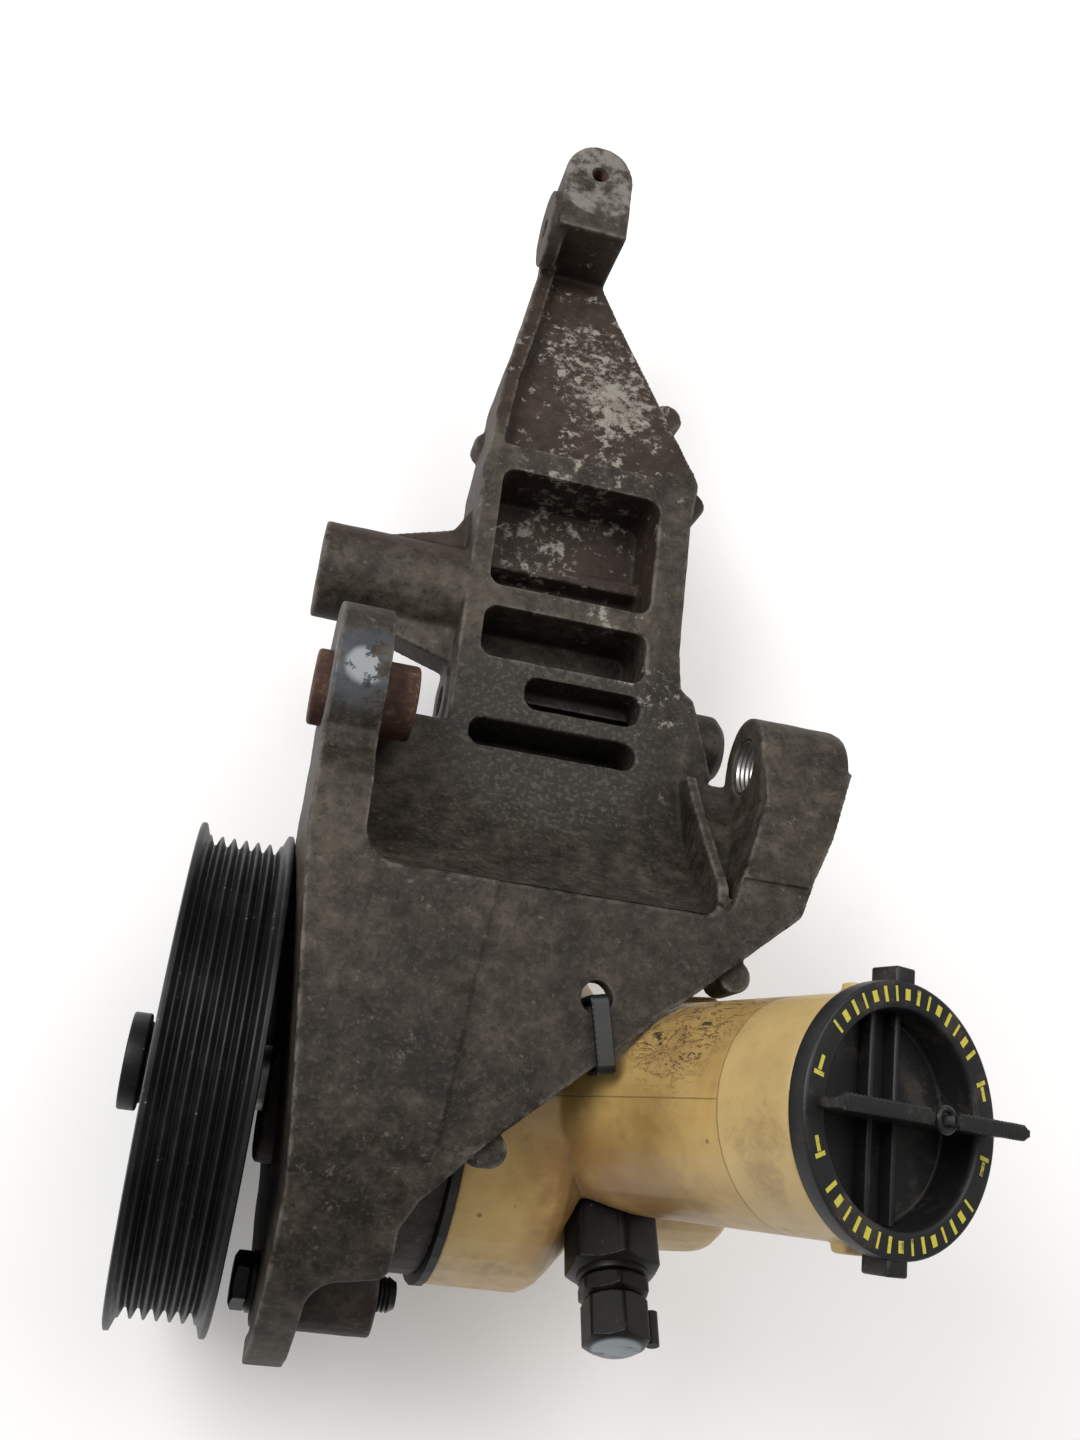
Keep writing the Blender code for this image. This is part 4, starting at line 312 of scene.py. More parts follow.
def waviness(points, size, seed):
    """A smooth unevenness from -1 to 1: the mean of sines along several fixed directions."""
    draw = np.random.default_rng(seed)
    total = np.zeros(len(points))
    for _ in range(7):
        direction = unit(draw.normal(size=3))
        wave = draw.uniform(0.7, 1.5) * size
        total += np.sin(points @ direction * 2 * pi / wave + draw.uniform(0, 2 * pi))
    return total / 4


def roughen(piece, depth, size, seed):
    """Moves each point along its normal by a smooth unevenness."""
    points = vertex_values(piece.data, "co")
    normals = vertex_values(piece.data, "normal")
    points += normals * (depth * waviness(points, size, seed))[:, None]
    piece.data.vertices.foreach_set("co", points.astype(np.float32).ravel())
    piece.data.update()


def step_plate(piece):
    """Lowers the plate's top right of the parting line by a small step, t^2 (3 - 2t) across it."""
    points = vertex_values(piece.data, "co")
    line = np.array(PLATE_LINE) * MM
    flat = points[:, :2]
    nearest = np.full(len(points), np.inf)
    side = np.zeros(len(points))
    for start, end in zip(line[:-1], line[1:]):
        along = end - start
        share = np.clip((flat - start) @ along / (along @ along), 0, 1)
        away = flat - start - share[:, None] * along
        distance = np.linalg.norm(away, axis=1)
        across = away[:, 1] * along[0] - away[:, 0] * along[1]
        closer = distance < nearest
        side = np.where(closer, np.sign(across), side)
        nearest = np.minimum(nearest, distance)
    t = np.clip(0.5 + side * nearest / PLATE_STEP_WIDTH, 0, 1)
    top = points[:, 2] > PLATE_TOP - 1.5 * MM
    points[:, 2] -= np.where(top, PLATE_STEP * t * t * (3 - 2 * t), 0)
    piece.data.vertices.foreach_set("co", points.astype(np.float32).ravel())
    piece.data.update()


def mark_ridges(piece, rounds=3):
    """Stores 'ridge' on each vertex: how far it stands out of its neighbours' mean, in cells."""
    mesh = piece.data
    count = len(mesh.vertices)
    ends = np.zeros(len(mesh.edges) * 2, np.int32)
    mesh.edges.foreach_get("vertices", ends)
    ends = ends.reshape(-1, 2)
    from_ends = np.concatenate([ends[:, 0], ends[:, 1]])
    to_ends = np.concatenate([ends[:, 1], ends[:, 0]])
    degree = np.maximum(np.bincount(from_ends, minlength=count), 1)

    def mean(values):
        return np.bincount(from_ends, values[to_ends], minlength=count) / degree

    points = vertex_values(mesh, "co")
    normals = vertex_values(mesh, "normal")
    average = np.column_stack([mean(points[:, i]) for i in range(3)])
    length = np.linalg.norm(points[ends[:, 0]] - points[ends[:, 1]], axis=1).mean()
    height = np.sum((points - average) * normals, axis=1) / length
    for _ in range(rounds):
        height = 0.4 * height + 0.6 * mean(height)
    store(piece, "ridge", height)


def store(piece, name, values):
    """Keeps one number for each vertex, for the material to read."""
    attribute = piece.data.attributes.new(name, "FLOAT", "POINT")
    attribute.data.foreach_set("value", np.asarray(values, np.float32))


def patches(points, places):
    """The sum of soft round patches, each strength * exp(-(distance / reach)^2), in metres."""
    total = np.zeros(len(points))
    for x, y, z, reach, strength in places:
        away = np.linalg.norm(points - np.array([x, y, z]) * MM, axis=1)
        total += strength * np.exp(-(away / (reach * MM)) ** 2)
    return total


# Materials

class Finish:
    """One material's node tree. Each method adds a node and gives back its output."""

    def __init__(self, name, roughness=0.5, metallic=0.0):
        self.material = bpy.data.materials.new(name)
        self.material.use_nodes = True
        self.tree = self.material.node_tree
        self.shader = self.tree.nodes["Principled BSDF"]
        self.place = self.tree.nodes.new("ShaderNodeTexCoord").outputs["Object"]
        self.give("Roughness", roughness)
        self.give("Metallic", metallic)

    def give(self, socket, value):
        """Sets one of the shader's sockets to a value, a colour or another node's output."""
        self.join(value, self.shader.inputs[socket])

    def join(self, value, socket):
        if isinstance(value, bpy.types.NodeSocket):
            self.tree.links.new(value, socket)
        elif isinstance(value, tuple) and len(value) == 3 and socket.type == "RGBA":
            socket.default_value = (*value, 1)
        else:
            socket.default_value = value

    def node(self, kind, inputs, **settings):
        made = self.tree.nodes.new("ShaderNode" + kind)
        for key, value in settings.items():
            setattr(made, key, value)
        for key, value in inputs.items():
            self.join(value, made.inputs[key])
        return made

    def attribute(self, name):
        made = self.node("Attribute", {})
        made.attribute_name = name
        return made.outputs["Fac"]

    def math(self, operation, a, b=0.0):
        return self.node("Math", {0: a, 1: b}, operation=operation).outputs[0]

    def noise(self, size, detail=4.0, roughness=0.6, place=None, distortion=0.0):
        """Noise whose blotches are about as large as the size, in metres."""
        inputs = {"Vector": self.place if place is None else place, "Scale": 0.6 / size,
                  "Detail": detail, "Roughness": roughness, "Distortion": distortion}
        return self.node("TexNoise", inputs).outputs["Fac"]

    def cells(self, size, feature="F1"):
        """The distance to the nearest of scattered points that lie about a size apart."""
        inputs = {"Vector": self.place, "Scale": 1 / size}
        return self.node("TexVoronoi", inputs, feature=feature).outputs["Distance"]

    def stretched(self, x, y, z):
        """The place with each axis scaled, for a grain that runs one way."""
        made = self.node("Mapping", {"Vector": self.place, "Scale": (x, y, z)})
        return made.outputs["Vector"]

    def along(self, direction, origin=(0, 0, 0)):
        """The distance from an origin along a direction."""
        away = self.node("VectorMath", {0: self.place, 1: tuple(origin)}, operation="SUBTRACT").outputs[0]
        made = self.node("VectorMath", {0: away, 1: tuple(direction)}, operation="DOT_PRODUCT")
        return made.outputs["Value"]

    def near(self, point, reach):
        """1 at a point, falling to 0 at the reach."""
        made = self.node("VectorMath", {0: self.place, 1: tuple(point)}, operation="DISTANCE")
        return self.rise(made.outputs["Value"], reach, 0.0)

    def rise(self, value, low, high):
        """0 below the first value and 1 above the second, with a smooth step between."""
        inputs = {"Value": value, "From Min": low, "From Max": high}
        return self.node("MapRange", inputs, interpolation_type="SMOOTHSTEP").outputs["Result"]

    def ramp(self, value, *stops):
        """A colour for each value, from (value, colour) stops."""
        made = self.node("ValToRGB", {"Fac": value})
        elements = made.color_ramp.elements
        while len(elements) < len(stops):
            elements.new(0.5)
        for element, (place, colour) in zip(elements, stops):
            element.position = place
            element.color = (*colour, 1)
        return made.outputs["Color"]

    def mix(self, share, a, b):
        return self.node("Mix", {0: share, 6: a, 7: b}, data_type="RGBA").outputs[2]

    def product(self, *values):
        result = values[0]
        for value in values[1:]:
            result = self.math("MULTIPLY", result, value)
        return result

    def bump(self, height, distance, strength=1.0, normal=None):
        inputs = {"Height": height, "Distance": distance, "Strength": strength}
        if normal is not None:
            inputs["Normal"] = normal
        return self.node("Bump", inputs).outputs["Normal"]


def casting(name, dark, middle, pale, metallic=0.1):
    """Weathered cast metal: three tones in patches, sand grain, pits, painted shade in hollows, rubbed
    ridges.

    The vertex values bloom and polish bring white oxide speckles and a bluish rubbed shine.
    """
    finish = Finish(name, metallic=metallic)
    broad = finish.noise(0.03, 5, 0.65)
    fine = finish.noise(0.004, 6, 0.7)
    grain = finish.noise(0.0009, 3, 0.6)
    tone = finish.math("ADD", finish.product(broad, 0.5), finish.product(fine, 0.5))
    colour = finish.ramp(tone, (0.4, dark), (0.5, middle), (0.62, pale))
    colour = finish.mix(finish.product(finish.rise(grain, 0.5, 0.7), 0.4), colour, pale)
    crumbs = finish.noise(0.0022, 5, 0.8)
    colour = finish.mix(finish.product(finish.rise(crumbs, 0.54, 0.62), 0.6), colour, dark)
    colour = finish.mix(finish.product(finish.rise(crumbs, 0.4, 0.33), 0.45), colour, (0.15, 0.13, 0.105))

    saddle = finish.product(finish.rise(finish.near((0.107, 0.112, 0.05), 0.06), 0.2, 0.5), 0.7)
    freckled = finish.mix(finish.rise(grain, 0.5, 0.62), (0.02, 0.021, 0.0165), (0.06, 0.058, 0.046))
    colour = finish.mix(saddle, colour, freckled)
    arm = finish.product(finish.rise(finish.along((0, 1, 0)), 0.158, 0.17),
                         finish.rise(finish.along((0, 0, 1)), 0.0335, 0.032))
    reddish = finish.mix(fine, (0.014, 0.0075, 0.005), (0.05, 0.03, 0.021))
    colour = finish.mix(finish.product(arm, 0.7), colour, reddish)

    ridge = finish.attribute("ridge")
    rubbed = finish.product(finish.rise(ridge, 0.03, 0.12), finish.rise(fine, 0.35, 0.6), 0.45)
    colour = finish.mix(rubbed, colour, (0.19, 0.172, 0.15))
    # Painted shade: the colour turns near black where the surface sinks below its neighbours, in hollows and
    # creases.
    painted_hollow_shade = finish.product(finish.rise(ridge, -0.02, -0.11), 0.75)
    colour = finish.mix(painted_hollow_shade, colour, (0.018, 0.014, 0.011))

    pits = finish.rise(finish.cells(0.0034), 0.16, 0.05)
    pits = finish.product(pits, finish.rise(finish.noise(0.012, 2), 0.5, 0.62))
    colour = finish.mix(finish.product(pits, 0.8), colour, (0.012, 0.01, 0.009))

    bloom = finish.attribute("bloom")
    blotch = finish.math("ADD", finish.noise(0.0034, 5, 0.72), finish.product(bloom, 0.24))
    speck = finish.math("ADD", finish.noise(0.0017, 4, 0.8), finish.product(bloom, 0.5))
    white = finish.math("MAXIMUM", finish.rise(blotch, 0.62, 0.72),
                        finish.product(finish.rise(speck, 0.74, 0.86), 0.7))
    white = finish.product(white, finish.rise(bloom, 0.02, 0.12), 0.8)
    colour = finish.mix(white, colour, finish.mix(grain, (0.2, 0.18, 0.15), (0.38, 0.36, 0.32)))

    polish = finish.product(finish.attribute("polish"), finish.rise(finish.noise(0.006, 5, 0.7), 0.36, 0.5))
    colour = finish.mix(finish.product(finish.rise(polish, 0.2, 0.7), 0.8), colour, (0.05, 0.06, 0.07))
    colour = finish.mix(finish.product(finish.rise(polish, 0.85, 1.0), 0.7), colour, (0.3, 0.31, 0.32))
    cut = finish.product(finish.rise(finish.near(LUG_TOP, 0.02), 0.02, 0.06),
                         finish.rise(finish.along((0, 0, 1)), 0.0332, 0.0337))
    cut = finish.product(cut, finish.rise(finish.noise(0.005, 5, 0.7), 0.4, 0.58), 0.8)
    colour = finish.mix(cut, colour, (0.2, 0.19, 0.172))
    finish.give("Specular IOR Level", 0.3)
    finish.give("Base Color", colour)
    rough = finish.math("SUBTRACT", finish.math("ADD", finish.product(fine, 0.25), 0.5),
                        finish.product(polish, 0.28))
    rough = finish.math("ADD", rough, finish.product(white, 0.2))
    finish.give("Roughness", rough)
    first = finish.bump(grain, 0.25 * MM, 0.5)
    second = finish.bump(fine, 0.6 * MM, 0.35, first)
    third = finish.bump(finish.math("SUBTRACT", white, pits), 0.2 * MM, 0.6, second)
    finish.give("Normal", third)
    return finish.material


def amber_moulding(neck):
    """Yellowed translucent plastic: clearer at the mouth, browner at the neck's root, oily and smeared."""
    finish = Finish("amber_moulding", 0.42)
    broad = finish.noise(0.035, 4, 0.6)
    fine = finish.noise(0.005, 5, 0.65)
    tone = finish.math("ADD", finish.product(broad, 0.7), finish.product(fine, 0.3))
    colour = finish.ramp(tone, (0.36, (0.3, 0.185, 0.058)), (0.5, (0.49, 0.33, 0.115)),
                         (0.68, (0.6, 0.44, 0.19)))
    up = finish.along(neck[:3, 0], neck[:3, 3])
    seam = -32 * MM
    mouth = finish.rise(up, seam - 0.4 * MM, seam + 0.4 * MM)
    colour = finish.mix(finish.product(mouth, 0.35), colour, (0.64, 0.5, 0.235))
    root = finish.product(finish.rise(finish.near((0.143, -0.02, 0.045), 0.05), 0, 0.6), 0.8)
    root = finish.product(root, finish.rise(finish.noise(0.012, 4), 0.3, 0.6))
    colour = finish.mix(root, colour, (0.25, 0.12, 0.035))
    # Painted shade: the reservoir grows darker and browner towards its lower side, away from the lamps
    # overhead.
    low = finish.product(finish.rise(finish.along((0, 0, 1)), 0.015, -0.04), 0.5)
    colour = finish.mix(low, colour, (0.33, 0.24, 0.12))

    line = finish.math("ABSOLUTE", finish.math("SUBTRACT", up, seam))
    line = finish.rise(line, 0.35 * MM, 0.12 * MM)
    side = finish.math("ABSOLUTE", finish.along(neck[:3, 1], neck[:3, 3]))
    parting = finish.product(finish.rise(side, 0.3 * MM, 0.1 * MM), finish.rise(up, -0.11, -0.1),
                             finish.rise(up, seam, seam - 0.5 * MM))
    seams = finish.math("MAXIMUM", line, parting)
    colour = finish.mix(finish.product(seams, 0.55), colour, (0.1, 0.05, 0.015))

    streaks = finish.noise(0.004, 5, 0.75, finish.stretched(0.45, 1.2, 0.45), 0.6)
    line_of = finish.math("ABSOLUTE", finish.math("SUBTRACT", streaks, 0.5))
    oily = finish.math("MAXIMUM", finish.rise(line_of, 0.022, 0.006), finish.rise(streaks, 0.6, 0.66))
    oily = finish.product(oily, finish.rise(finish.near(OILY_PLACE, 0.032), 0, 0.5))
    smear = finish.product(finish.rise(finish.near(OILY_PLACE, 0.04), 0, 0.8),
                           finish.rise(fine, 0.35, 0.6), 0.45)
    colour = finish.mix(smear, colour, (0.2, 0.12, 0.04))
    colour = finish.mix(finish.product(oily, 0.92), colour, (0.02, 0.013, 0.008))
    specks = finish.product(finish.rise(finish.cells(0.011), 0.085, 0.05), finish.rise(broad, 0.42, 0.6))
    film = finish.product(finish.rise(finish.noise(0.02, 6, 0.75), 0.48, 0.68), 0.55)
    colour = finish.mix(film, colour, (0.17, 0.1, 0.045))
    colour = finish.mix(finish.product(specks, 0.8), colour, (0.05, 0.03, 0.015))
    # Painted shade: darker brown where the surface sinks below its neighbours, in hollows and creases.
    painted_hollow_shade = finish.product(finish.rise(finish.attribute("ridge"), -0.02, -0.12), 0.5)
    colour = finish.mix(painted_hollow_shade, colour, (0.13, 0.07, 0.025))
    finish.give("Base Color", colour)
    finish.give("Roughness", finish.math("ADD", finish.product(fine, 0.25), 0.27))
    finish.give("Subsurface Weight", 0.15)
    finish.give("Subsurface Radius", (1.0, 0.72, 0.38))
    finish.give("Subsurface Scale", 0.006)
    first = finish.bump(finish.noise(0.0016, 3), 0.08 * MM, 0.4)
    finish.give("Normal", finish.bump(finish.math("SUBTRACT", fine, seams), 0.25 * MM, 0.35, first))
    return finish.material


def black_moulding(name, base, rough, grain, dust=(0.12, 0.1, 0.08), dusty=0.35):
    """Black plastic or rubber with a fine grain, and dust that gathers in patches."""
    finish = Finish(name, rough)
    patch = finish.noise(0.009, 5, 0.7)
    grit = finish.rise(finish.cells(0.0016), 0.2, 0.08)
    lying = finish.product(finish.rise(patch, 0.5, 0.68), dusty)
    colour = finish.mix(lying, base, dust)
    colour = finish.mix(finish.product(grit, finish.rise(patch, 0.48, 0.6), dusty * 1.6), colour, dust)
    finish.give("Specular IOR Level", 0.35)
    finish.give("Base Color", colour)
    finish.give("Roughness", finish.math("ADD", finish.product(lying, 0.6), rough))
    finish.give("Normal", finish.bump(finish.noise(grain, 3), 0.12 * MM, 0.45))
    return finish.material


def black_paint(name, base, worn, rough, bare=None):
    """Satin black metal, greyer where it is rubbed and speckled with dust and small chips.

    Bare is a point and a reach round which the paint is gone.
    """
    finish = Finish(name, rough, 0.2)
    patch = finish.noise(0.012, 5, 0.7)
    streak = finish.noise(0.0025, 5, 0.7, finish.stretched(0.25, 1, 1))
    colour = finish.mix(finish.product(finish.rise(patch, 0.45, 0.7), 0.5), base, worn)
    chips = finish.product(finish.rise(finish.cells(0.003), 0.13, 0.06), finish.rise(patch, 0.46, 0.58))
    colour = finish.mix(finish.product(chips, 0.7), colour, (0.2, 0.17, 0.14))
    if bare:
        gone = finish.product(finish.rise(finish.near(*bare), 0, 0.12), finish.rise(streak, 0.34, 0.5))
        colour = finish.mix(gone, colour, (0.29, 0.33, 0.35))
    finish.give("Specular IOR Level", 0.3)
    finish.give("Base Color", colour)
    finish.give("Roughness", finish.math("ADD", finish.product(streak, 0.3), rough - 0.12))
    finish.give("Normal", finish.bump(finish.math("SUBTRACT", streak, chips), 0.1 * MM, 0.35))
    return finish.material


def rust(name, base, bright, metallic=0.2):
    """Rusty steel: two browns in fine grains, with a scaly surface."""
    finish = Finish(name, 0.8, metallic)
    fine = finish.noise(0.0012, 6, 0.75)
    broad = finish.noise(0.006, 4)
    tone = finish.math("ADD", finish.product(fine, 0.6), finish.product(broad, 0.4))
    finish.give("Base Color", finish.ramp(tone, (0.35, base), (0.52, bright), (0.68, (0.2, 0.13, 0.09))))
    finish.give("Normal", finish.bump(fine, 0.25 * MM, 0.6))
    return finish.material


def metal(name, colour, rough, grain):
    """Machined metal with a fine grain round or along its axis and faint stains."""
    finish = Finish(name, rough, 1.0)
    lines = finish.noise(0.0008, 3, 0.6, finish.stretched(*grain))
    stain = finish.noise(0.01, 4)
    dark = tuple(c * 0.55 for c in colour)
    finish.give("Base Color", finish.mix(finish.rise(stain, 0.5, 0.75), colour, dark))
    finish.give("Roughness", finish.math("ADD", finish.product(lines, 0.25), rough - 0.1))
    finish.give("Normal", finish.bump(lines, 0.05 * MM, 0.3))
    return finish.material


def worn_print(name, colour):
    """Yellow print, rubbed thin in places."""
    finish = Finish(name, 0.55)
    wear = finish.rise(finish.noise(0.0015, 4, 0.7), 0.56, 0.66)
    finish.give("Base Color", finish.mix(finish.product(wear, 0.75), colour, (0.05, 0.05, 0.03)))
    finish.give("Normal", finish.bump(wear, 0.03 * MM, 0.4))
    return finish.material


# Pieces

def put(piece, body, finish, slot, *nodes):
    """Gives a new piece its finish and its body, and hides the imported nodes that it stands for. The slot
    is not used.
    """
    piece.data.materials.clear()
    piece.data.materials.append(finish)
    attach(piece, body)
    if nodes:
        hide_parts(*nodes)
    return piece


def dress(finish, *nodes):
    """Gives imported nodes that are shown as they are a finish."""
    for node in nodes:
        mesh = frame["nodes"][node].data
        mesh.materials.clear()
        mesh.materials.append(finish)


def joint_frame(name, side):
    joint = next(j for j in frame["joints"] if j["name"] == name)
    return frame_on(joint.get("pos_m", (0, 0, 0)), joint["axis"], side)


def build_castings():
    grey = casting("bracket_casting", *BRACKET_TONES)
    brown = casting("pump_casting", *PUMP_TONES)
    bracket = softened("bracket_casting", "bracket", CASTING_CELL, 4)
    roughen(bracket, 0.08 * MM, 9 * MM, 3)
    step_plate(bracket)
    mark_ridges(bracket)
    thinned(bracket, BRACKET_TRIANGLES)
    points = vertex_values(bracket.data, "co")
    bloom = [
        (110, 262, 14, 30, 0.5),
        (122, 238, 26, 18, 0.5),
        (112, 200, 20, 26, 0.42),
        (96, 176, 12, 20, 0.35),
        (140, 130, 34, 12, 0.4),
        (118, 152, 34, 14, 0.35),
    ]
    store(bracket, "bloom", patches(points, bloom))
    polish = [(45, 107.5, 76, 12, 1.15)]
    store(bracket, "polish", patches(points, polish))
    put(bracket, "pump", grey, "cast_bracket", "bracket")
    cover = softened("cover_casting", "front_cover", CASTING_CELL, 4)
    roughen(cover, 0.07 * MM, 8 * MM, 5)
    mark_ridges(cover)
    thinned(cover, COVER_TRIANGLES)
    put(cover, "pump", brown, "cast_pump", "front_cover")
    dress(brown, "pump_housing")


def build_reservoir(neck):
    moulding = softened("reservoir_moulding", "reservoir", MOULDING_CELL, 4)
    mark_ridges(moulding)
    thinned(moulding, MOULDING_TRIANGLES)
    amber = amber_moulding(neck)
    put(moulding, "pump", amber, "amber_plastic", "reservoir")
    upward = frame_on((0, 0, 0), (0, 0, 1), (1, 0, 0))
    lug = prism("reservoir_side_lug", np.array(SIDE_LUG) * MM, 44 * MM, 57 * MM, upward, 1.2 * MM)
    put(lug, "pump", amber, "amber_plastic")
    rubber = black_moulding("seal_rubber", (0.014, 0.014, 0.014), 0.6, 0.002)
    dress(rubber, "reservoir_seal", "shaft_seal", "union_seal", "plug_strap_stub", "cap_gasket")


def pulley_profile(front, back, flange):
    """The closed section of the pulley: belt ridges, rim, dished web and sleeve, as (along, radius)."""
    middle = (front + back) / 2
    ridge = flange - PULLEY_RIDGE
    floor = ridge - PULLEY_GROOVE_DEPTH
    first = middle - PULLEY_PITCH * PULLEY_GROOVES / 2
    groove = np.array([[0.085, ridge], [0.41, floor], [0.59, floor], [0.915, ridge]])
    steps = first + (np.arange(PULLEY_GROOVES)[:, None] + groove[None, :, 0]) * PULLEY_PITCH
    ridges = np.stack([steps, np.broadcast_to(groove[None, :, 1], steps.shape)], -1).reshape(-1, 2)
    outer = np.vstack([
        [(front, flange - 1.4 * MM), (front + 0.4 * MM, flange), (front + 1.8 * MM, flange)],
        [(first - 0.085 * PULLEY_PITCH, ridge)],
        ridges,
        [(2 * middle - first + 0.085 * PULLEY_PITCH, ridge)],
        [(back - 1.8 * MM, flange), (back - 0.4 * MM, flange), (back, flange - 1.4 * MM)],
    ])
    rim = floor - PULLEY_RIM
    web = front + PULLEY_WEB_SETBACK
    dish = web + PULLEY_DISH
    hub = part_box("pulley_hub")[1]
    sleeve = hub.y + 0.3 * MM
    end = hub.x - 2 * MM
    inner = [
        (back, rim), (web + PULLEY_WEB, rim), (web + PULLEY_WEB, PULLEY_DISH_RADIUS + PULLEY_DISH),
        (dish + PULLEY_WEB, PULLEY_DISH_RADIUS), (dish + PULLEY_WEB, sleeve + PULLEY_SLEEVE),
        (end, sleeve + PULLEY_SLEEVE), (end, sleeve), (dish, sleeve), (dish, PULLEY_DISH_RADIUS),
        (web, PULLEY_DISH_RADIUS + PULLEY_DISH), (web, rim), (front, rim),
    ]
    fine = rounded(outer, 0.35 * MM, 2, closed=True)
    return np.vstack([fine, rounded(inner, 1.6 * MM, 4, closed=True)])


def build_pulley():
    low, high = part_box("pulley")
    paint = black_paint("pulley_paint", (0.008, 0.0085, 0.009), (0.03, 0.031, 0.033), 0.4)
    pulley = turned("belt_pulley", pulley_profile(low.x, high.x, high.y), None, 240, closed=True)
    for i in range(PULLEY_HOLES):
        angle = 2 * pi * (i + 0.5) / PULLEY_HOLES
        centre = (0, PULLEY_HOLE_CIRCLE * np.cos(angle), PULLEY_HOLE_CIRCLE * np.sin(angle))
        line = np.array([(low.x, 0), (low.x, PULLEY_HOLE_RADIUS), (high.x, PULLEY_HOLE_RADIUS), (high.x, 0)])
        cutter = turned("cutter", line, frame_on(centre, (1, 0, 0), (0, 1, 0)), 48)
        cut = pulley.modifiers.new("hole", "BOOLEAN")
        cut.object = cutter
        cut.solver = "EXACT"
        bake(pulley)
        bpy.data.objects.remove(cutter)
    put(pulley, "rotating", paint, "pulley_black", "pulley")

    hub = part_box("pulley_hub")[1]
    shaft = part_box("drive_shaft")[1]
    bore = 9.8 * MM
    line = [(0, bore), (0, 14 * MM), (5.5 * MM, 14 * MM), (5.5 * MM, 11.6 * MM), (10 * MM, 11.6 * MM),
            (10 * MM, hub.y), (hub.x, hub.y), (hub.x, bore)]
    hub_piece = turned("hub_turning", rounded(line, 0.8 * MM, 3, closed=True), None, 128, closed=True)
    put(hub_piece, "rotating", paint, "pulley_black", "pulley_hub")
    steel = metal("bright_steel", (0.4, 0.39, 0.37), 0.38, (1, 6, 6))
    narrow = 7.5 * MM
    step = 91.5 * MM
    line = [(8 * MM, 0), (4 * MM, 1.6 * MM), (3 * MM, 1.7 * MM), (0, 4 * MM), (0, 9.5 * MM),
            (step, 9.5 * MM), (step, narrow), (shaft.x, narrow), (shaft.x, 0)]
    shaft_piece = turned("shaft_turning", rounded(line, 0.7 * MM, 3), None, 96)
    put(shaft_piece, "rotating", steel, "bright_steel", "drive_shaft")
    return steel


def build_outlet(valve):
    """The union, adapter and plug: hexagons in a row along the valve's axis."""
    black = black_paint("fitting_black", (0.006, 0.005, 0.0045), (0.022, 0.019, 0.016), 0.4)
    places = {}
    for node in ("outlet_union", "union_adapter", "blanking_plug"):
        points = vertex_values(frame["nodes"][node].data, "co") - valve[:3, 3]
        places[node] = (points @ valve[:3, 0]).min(), (points @ valve[:3, 0]).max()
    top = places["outlet_union"][1]
    seat = top - 21.6 * MM
    union = nut("union_hexagon", seat, top - 1.6 * MM, 24 * MM, 30, valve, 2.2 * MM)
    put(union, "pump", black, "black_steel", "outlet_union")
    line = [(places["outlet_union"][0], 0), (places["outlet_union"][0], 7.7 * MM), (seat + 2 * MM, 7.7 * MM),
            (top - 2.6 * MM, 7.7 * MM), (top - 2.6 * MM, 10.2 * MM), (top, 10.2 * MM), (top, 0)]
    put(turned("union_shank", rounded(line, 0.5 * MM, 3), valve, 64), "pump", black, "black_steel")
    top = places["union_adapter"][1]
    adapter = nut("adapter_hexagon", top - 5 * MM, top, 18 * MM, 36, valve, 1.6 * MM)
    put(adapter, "pump", black, "black_steel", "union_adapter")
    top = places["blanking_plug"][1]
    plug = nut("plug_hexagon", top - 13 * MM, top, 16.6 * MM, 30, valve, 2.4 * MM)
    end = tuple(valve[:3, 3] + valve[:3, 0] * (top + 4 * MM))
    rubbed = black_paint("plug_black", (0.006, 0.0055, 0.005), (0.022, 0.019, 0.016), 0.4, (end, 9.5 * MM))
    put(plug, "pump", rubbed, "black_steel", "blanking_plug")


def build_cap(neck):
    """The filler cap: a flanged cup, two ears, two ribs and a winged grip with serrated lips."""
    plastic = black_moulding("cap_plastic", (0.009, 0.0095, 0.01), 0.4, 0.0007, (0.13, 0.1, 0.075), 0.22)
    recess = -CAP_RECESS_DEPTH
    outer = 31 * MM
    line = [(-CAP_CUP_DEPTH, 0), (-CAP_CUP_DEPTH, CAP_CUP_RADIUS), (-CAP_FLANGE, CAP_CUP_RADIUS),
            (-CAP_FLANGE, outer), (0, outer), (0, CAP_RECESS_RADIUS + 0.8 * MM),
            (-1 * MM, CAP_RECESS_RADIUS), (recess, CAP_RECESS_RADIUS), (recess, 0)]
    cup = turned("cap_cup", rounded(line, 0.9 * MM, 4), neck, 200)
    put(cup, "cap", plastic, "cap_plastic", "filler_cap")
    for side in (-1, 1):
        inner = 29.1 * MM * side
        tip = 34.4 * MM * side
        half = 3.2 * MM
        ear = [(inner, -half), (tip, -half), (tip, half), (inner, half)]
        name = "near" if side < 0 else "far"
        piece = prism("cap_ear_" + name, ear, -9 * MM, -0.5 * MM, neck, 0.7 * MM)
        put(piece, "cap", plastic, "cap_plastic")
        middle = CAP_RIB_SPACING / 2 * side
        reach = CAP_RECESS_RADIUS - 0.2 * MM
        rib = [(-reach, middle - 0.9 * MM), (reach, middle - 0.9 * MM),
               (reach, middle + 0.9 * MM), (-reach, middle + 0.9 * MM)]
        piece = prism("cap_rib_" + name, rib, recess - 1 * MM, recess + 4 * MM, neck, 0.5 * MM)
        put(piece, "cap", plastic, "cap_plastic")
    across = neck @ frame_on((0, 0, 0), (0, 1, 0), (0, 0, 1))
    build_grip(across, plastic)
    build_marks(neck)


